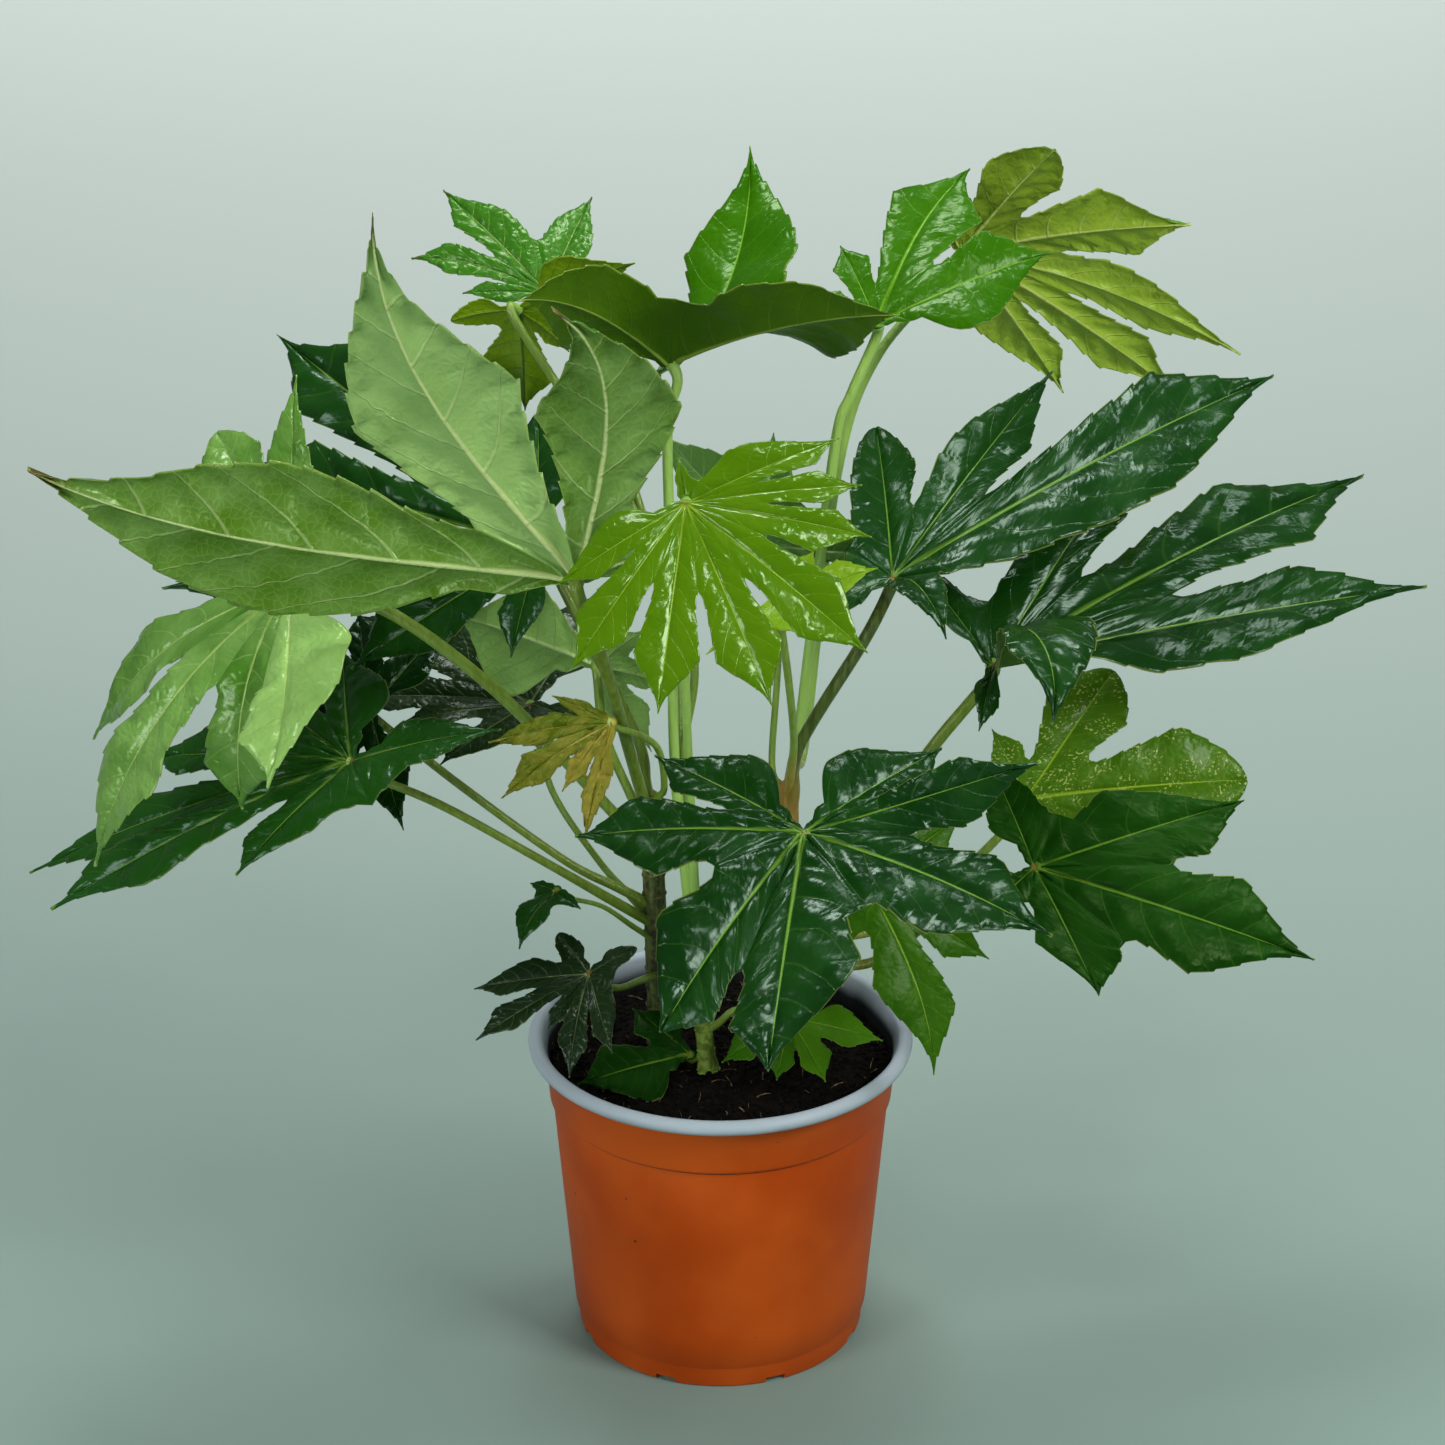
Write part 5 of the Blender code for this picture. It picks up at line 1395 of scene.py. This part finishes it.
@dataclass
class Pot:
    """The nursery pot: tapered wall, step under the collar, rolled rim, foot ring with drain slots."""

    height: float = 162.0
    rim_outer: float = 95.0
    roll: float = 3.7
    wall: float = 1.2
    wall_top: float = 87.0
    wall_foot: float = 75.0
    step_down: float = 33.0
    step_in: float = 1.4
    foot_height: float = 11.0
    foot_step: float = 1.5
    foot_radius: float = 71.5
    inner_foot: float = 69.8
    floor: float = 4.5
    pad: float = 22.0
    channel_rise: float = 3.0
    channel_outer: float = 62.0
    sides: int = 144
    roll_steps: int = 16
    slots: int = 8
    slot_width: float = 10.0
    drains: int = 4
    drain_radius: float = 5.0
    drain_ring: float = 43.0
    cut_over: float = 12.0  # how much longer a slot's cutter is than the slot
    cut_deep: float = 30.0  # length of a drain's cutter
    finish: PotFinish = field(default_factory=PotFinish)

    def wall_radius(self, height: float) -> float:
        """Outer radius of the wall at a height."""
        low, high = self.foot_height + self.foot_step, self.height - 2 * self.roll
        radius = self.wall_foot + (self.wall_top - self.wall_foot) * (height - low) / (high - low)
        return radius - (self.step_in if height < self.height - self.step_down else 0)

    def profile(self) -> tuple[list[tuple[float, float]], int]:
        """The section from the middle of the base, up the outside, over the rim and down the inside.

        Returns:
            The points as radius and height, and the number of the point where the inner layer starts.
        """
        step = self.height - self.step_down
        foot_top = self.foot_height + self.foot_step
        low = self.height - 2 * self.roll
        foot, channel, wall = self.foot_radius, self.channel_outer, self.wall_radius
        outside = [
            (0, 0), (self.pad, 0), (self.pad + 2, self.channel_rise), (channel, self.channel_rise),
            (channel + 2, 0), (foot - 1.5, 0), (foot - 0.4, 0.4), (foot, 1.5),
            (foot + 0.8, self.foot_height - 0.8), (foot + 1.0, self.foot_height),
            (wall(foot_top) - 0.8, foot_top - 0.6), (wall(foot_top), foot_top + 0.4),
            *((wall(height), height) for height in (30, 80, step - 1.2)),
            (wall(step - 0.4) - 0.3, step - 0.4), (wall(step + 0.1) - 0.6, step + 0.1),
            *((wall(height), height) for height in (step + 0.7, step + 2)), (self.wall_top, low),
        ]
        turns = [math.radians(215 + 325 * k / self.roll_steps) for k in range(self.roll_steps + 1)]
        x, z = self.rim_outer - self.roll, self.height - self.roll
        rim = [(x + self.roll * math.cos(t), z + self.roll * math.sin(t)) for t in turns]
        inside = [
            (self.wall_top - self.wall, low), (wall(step + 1) - self.wall, step + 1 - self.wall),
            (wall(step - 1) - self.wall, step - 1 - self.wall), (self.inner_foot, foot_top),
            (self.inner_foot - 1, self.floor), (0, self.floor),
        ]
        return outside + rim + inside, len(outside)

    def cutters(self) -> list[Object]:
        """Boxes for the drain slots and round cutters for the drain holes."""
        reach = self.foot_radius - self.channel_outer + self.cut_over
        size = Matrix.Diagonal((reach * MM, self.slot_width * MM, 2 * self.channel_rise * MM, 1))
        out = Matrix.Translation(Vector(((self.foot_radius + self.channel_outer) / 2 * MM, 0, 0)))
        made = [bmesh.new() for _ in range(self.slots + self.drains)]
        for k, shape in enumerate(made[:self.slots]):
            turn = Matrix.Rotation(TAU * (k + 0.5) / self.slots, 4, "Z")
            bmesh.ops.create_cube(shape, size=1, matrix=turn @ out @ size)
        for k, shape in enumerate(made[self.slots:]):
            centre = direction(TAU * k / self.drains) * self.drain_ring * MM
            bmesh.ops.create_cone(
                shape, cap_ends=True, segments=32, radius1=self.drain_radius * MM,
                radius2=self.drain_radius * MM, depth=self.cut_deep * MM, matrix=Matrix.Translation(centre),
            )
        objects = []
        for shape in made:
            mesh = bpy.data.meshes.new("pot_cutter")
            shape.to_mesh(mesh)
            shape.free()
            objects.append(bpy.data.objects.new("pot_cutter", mesh))
        return objects

    def build(self) -> Object:
        """Turns the pot's section round, cuts its drains and dresses it."""
        profile, lining_from = self.profile()
        points, faces = turn_round(profile, self.sides)
        mesh = make_mesh("pot_turned", points, [], faces)
        bands = range(1, len(profile) - 2)
        lining = [float(band >= lining_from - 1) for band in bands for _ in range(self.sides)]
        set_values(mesh, "FACE", lining=lining + [0.0, 1.0] * self.sides)
        mesh.materials.append(self.finish.material())
        turned = add_object("pot_turned", mesh)
        group = bpy.data.collections.new("pot_cutters")
        bpy.context.scene.collection.children.link(group)
        cutters = self.cutters()
        for cutter in cutters:
            group.objects.link(cutter)
        cut = turned.modifiers.new("Drains", "BOOLEAN")
        cut.operation, cut.operand_type, cut.solver = "DIFFERENCE", "COLLECTION", "EXACT"
        cut.collection = group
        graph = bpy.context.evaluated_depsgraph_get()
        made = bpy.data.meshes.new_from_object(turned.evaluated_get(graph))
        for old in (turned, *cutters):
            bpy.data.objects.remove(old, do_unlink=True)
        bpy.data.collections.remove(group)
        made.shade_smooth()
        made.set_sharp_from_angle(angle=math.radians(50))
        return add_piece("pot_fine", made, "pot_plastic", "pot")


@dataclass
class Soil:
    """The peat filling, with crumbs and fibres on its surface."""

    pot: Pot
    top: float = 145.0
    mound: float = 3.0
    gap: float = 0.3
    sides: int = 96
    rings: int = 26
    smooth_rings: int = 5  # up to the mound's edge
    shrink: float = 0.985  # of the mound's edge, which clears the wall
    roughness: float = 1.6
    lumps: float = 0.11  # to a millimetre
    crumbs: float = 100000.0  # for each square metre
    fibres: float = 6000.0
    seed: int = 7
    peat: PeatFinish = PeatFinish("peat", (0.002, 0.0017, 0.0014), (0.009, 0.006, 0.0035))
    fibre: PeatFinish = PeatFinish("peat_fibre", (0.09, 0.055, 0.025), (0.4, 0.3, 0.16))

    def surface(self) -> Mesh:
        """The peat's body: flat below, a rough low mound on top."""
        pot = self.pot
        step = pot.height - pot.step_down
        outer = pot.wall_radius(self.top) - pot.wall - 2 * self.gap
        floor = pot.floor + self.gap
        profile = [
            (0, floor), (pot.inner_foot - 1 - 2 * self.gap, floor),
            (pot.inner_foot - 2 * self.gap, pot.foot_height + pot.foot_step),
            (pot.wall_radius(step - 1) - pot.wall - 2 * self.gap, step - 1), (outer, self.top - 2),
        ]
        for k in range(self.rings):
            left = 1 - k / self.rings
            profile.append((outer * left * self.shrink, self.top + self.mound * (1 - left ** 2)))
        points, faces = turn_round([*profile, (0, self.top + self.mound)], self.sides)
        for point in points[1 + self.smooth_rings * self.sides:-1]:
            point.z += self.roughness * noise.fractal(point * self.lumps, 1.0, 2.0, 3)
        mesh = make_mesh("soil_body", points, [], faces)
        mesh.materials.append(self.peat.material())
        return mesh

    def litter(self, body: Mesh) -> Mesh:
        """Strews crumbs and fibres over the upper face of the body."""
        tree = Tree(
            "soil_litter", Crumbs=("Float", self.crumbs), Fibres=("Float", self.fibres),
            Seed=("Int", self.seed),
        )
        plain = tree.given("Geometry")
        place = tree.add("ShaderNodeSeparateXYZ", {0: tree.pipe("GeometryNodeInputPosition")}).outputs[2]
        wires = {0: place, 1: (self.top - 1) * MM}
        upper = tree.pipe("FunctionNodeCompare", wires, data_type="FLOAT", operation="GREATER_THAN")
        ball = tree.pipe("GeometryNodeMeshIcoSphere", {"Radius": 1.0, "Subdivisions": 2})
        arc = tree.pipe("GeometryNodeCurveQuadraticBezier", {
            "Resolution": 6,
            "Start": (-1.0, 0.0, 0.0), "Middle": (0.0, 0.55, 0.15), "End": (1.0, -0.1, 0.0),
        })
        strand = tree.pipe("GeometryNodeCurveToMesh", {
            "Curve": arc, "Profile Curve": tree.ring(4, 0.045), "Fill Caps": True,
        })
        shapes = [plain]
        kinds = (
            ("Crumbs", ball, 0.5, 1.7, body.materials[0], 1),
            ("Fibres", strand, 2.0, 6.0, self.fibre.material(), 2),
        )
        for title, shape, least, most, material, number in kinds:
            spots = tree.pipe("GeometryNodeDistributePointsOnFaces", {
                "Mesh": plain, "Selection": upper, "Density": tree.given(title), "Seed": tree.given("Seed"),
            })
            grown = tree.pipe("GeometryNodeInstanceOnPoints", {
                "Points": spots, "Instance": shape, "Rotation": tree.turn(number),
                "Scale": tree.random(least * MM, most * MM, number + 10),
            })
            shapes.append(tree.dress(grown, material))
        joined = tree.add("GeometryNodeJoinGeometry")
        for shape in shapes:
            tree.group.links.new(shape, joined.inputs[0])
        return tree.apply(joined.outputs[0], body)

    def build(self) -> Object:
        """Makes the filling with its litter as one piece."""
        made = self.litter(self.surface())
        made.shade_smooth()
        return add_piece("soil_fine", made, "peat", "soil")


@dataclass(frozen=True)
class Lamp:
    """A square soft light, in metres and watts, and whether glossy faces mirror it."""

    name: str
    at: Triple
    aim: Triple
    size: float
    power: float
    colour: Colour = (1.0, 1.0, 1.0)
    mirrored: bool = True

    def build(self) -> None:
        """Hangs the light and aims it."""
        data = bpy.data.lights.new(self.name, "AREA")
        data.size, data.energy, data.color = self.size, self.power, self.colour
        lamp = add_object(self.name, data)
        lamp.location = self.at
        lamp.rotation_euler = (Vector(self.aim) - Vector(self.at)).to_track_quat("-Z", "Y").to_euler()
        lamp.visible_glossy = self.mirrored


MIDDLE = (0.0, 0.0, 0.38)  # of the plant, in metres
LAMPS = (
    Lamp("side_right", (1.3, -1.0, 1.55), MIDDLE, 0.7, 25.0, (1.0, 0.98, 0.95)),
    Lamp("top_front", (0.45, -0.85, 2.15), MIDDLE, 0.25, 4.0, (1.0, 0.99, 0.97)),
    Lamp("fill_left", (-1.4, -1.3, 1.0), MIDDLE, 0.7, 13.0, (0.96, 0.98, 1.0)),
    Lamp("top", (-0.1, 0.6, 2.1), MIDDLE, 0.45, 12.0),
    Lamp("rim_right", (0.9, 0.85, 2.0), MIDDLE, 0.4, 4.0, (0.95, 1.0, 1.0)),
    Lamp("front_low", (-0.35, -1.25, 0.3), (-0.2, 0.0, 0.55), 0.3, 2.0, (1.0, 1.0, 0.98)),
    Lamp("overhead", (0.0, 0.6, 4.5), (0.0, 0.4, 0.0), 3.0, 52.0, mirrored=False),
    Lamp("far_floor", (0.0, 4.5, 3.0), (0.0, 4.3, 0.0), 3.0, 104.0, mirrored=False),
    Lamp("near_floor", (0.0, -8.0, 3.5), (0.0, -8.2, 0.0), 3.0, 110.0, mirrored=False),
)


@dataclass
class Studio:
    """The floor, the lights and the camera, in metres."""

    floor_size: float = 40.0
    floor_drop: float = 0.0002  # below the pot's foot
    camera_at: Triple = (0.001, -1.754, 1.118)
    look_down: float = 24.24
    lens: float = 100.4
    sensor: float = 36.0
    sky: Colour = (0.78, 0.84, 0.81)
    sky_strength: float = 0.16
    floor: FloorFinish = field(default_factory=FloorFinish)

    def add_floor(self) -> None:
        """A wide plain floor under the pot."""
        half = self.floor_size / 2
        mesh = bpy.data.meshes.new("floor")
        corners = [(x * half, y * half, -self.floor_drop) for x, y in ((-1, -1), (1, -1), (1, 1), (-1, 1))]
        mesh.from_pydata(corners, [], [(0, 1, 2, 3)])
        mesh.materials.append(self.floor.material())
        ground = add_object("floor", mesh)

    def add_camera(self) -> None:
        """The camera at the photograph's angle."""
        data = bpy.data.cameras.new("camera")
        data.lens, data.sensor_width = self.lens, self.sensor
        camera = add_object("camera", data)
        camera.location = self.camera_at
        camera.rotation_euler = (math.radians(90 - self.look_down), 0, 0)
        bpy.context.scene.camera = camera

    def build(self) -> None:
        """Sets up the whole studio."""
        self.add_floor()
        for lamp in LAMPS:
            lamp.build()
        world = bpy.data.worlds.new("studio")
        world.use_nodes = True
        colour, strength = world.node_tree.nodes["Background"].inputs[:2]
        colour.default_value, strength.default_value = (*self.sky, 1.0), self.sky_strength
        bpy.context.scene.world = world
        bpy.context.scene.view_settings.view_transform = "Standard"
        self.add_camera()


BARK = StemFinish("bark_and_stalks", (0.022, 0.022, 0.006), (0.085, 0.085, 0.022))
GREEN = StemFinish("green_stem_and_stalks", (0.09, 0.15, 0.01), (0.22, 0.34, 0.04))


def main() -> None:
    """Builds the studio and every piece in order."""
    logging.basicConfig(level=logging.INFO, format="%(message)s")
    Studio().build()
    pot = Pot()
    pot.build()
    soil = Soil(pot)
    soil.build()
    stems = (
        WoodyStem("stem_left", "stem_bark", BARK, (-30, 15), (-34, 12, 286), 6.0, soil.top),
        WoodyStem("stem_middle", "stem_green", GREEN, (-6, -16), (-12, -8, 205), 4.5, soil.top, scars=5),
        WoodyStem("stem_right", "stem_bark", BARK, (34, 10), (33, 12, 292), 5.5, soil.top, sheath=1.0),
    )
    for stem in stems:
        stem.build()
    for leaf in LEAVES:
        Blade(leaf).build()


if __name__ == "__main__":
    main()
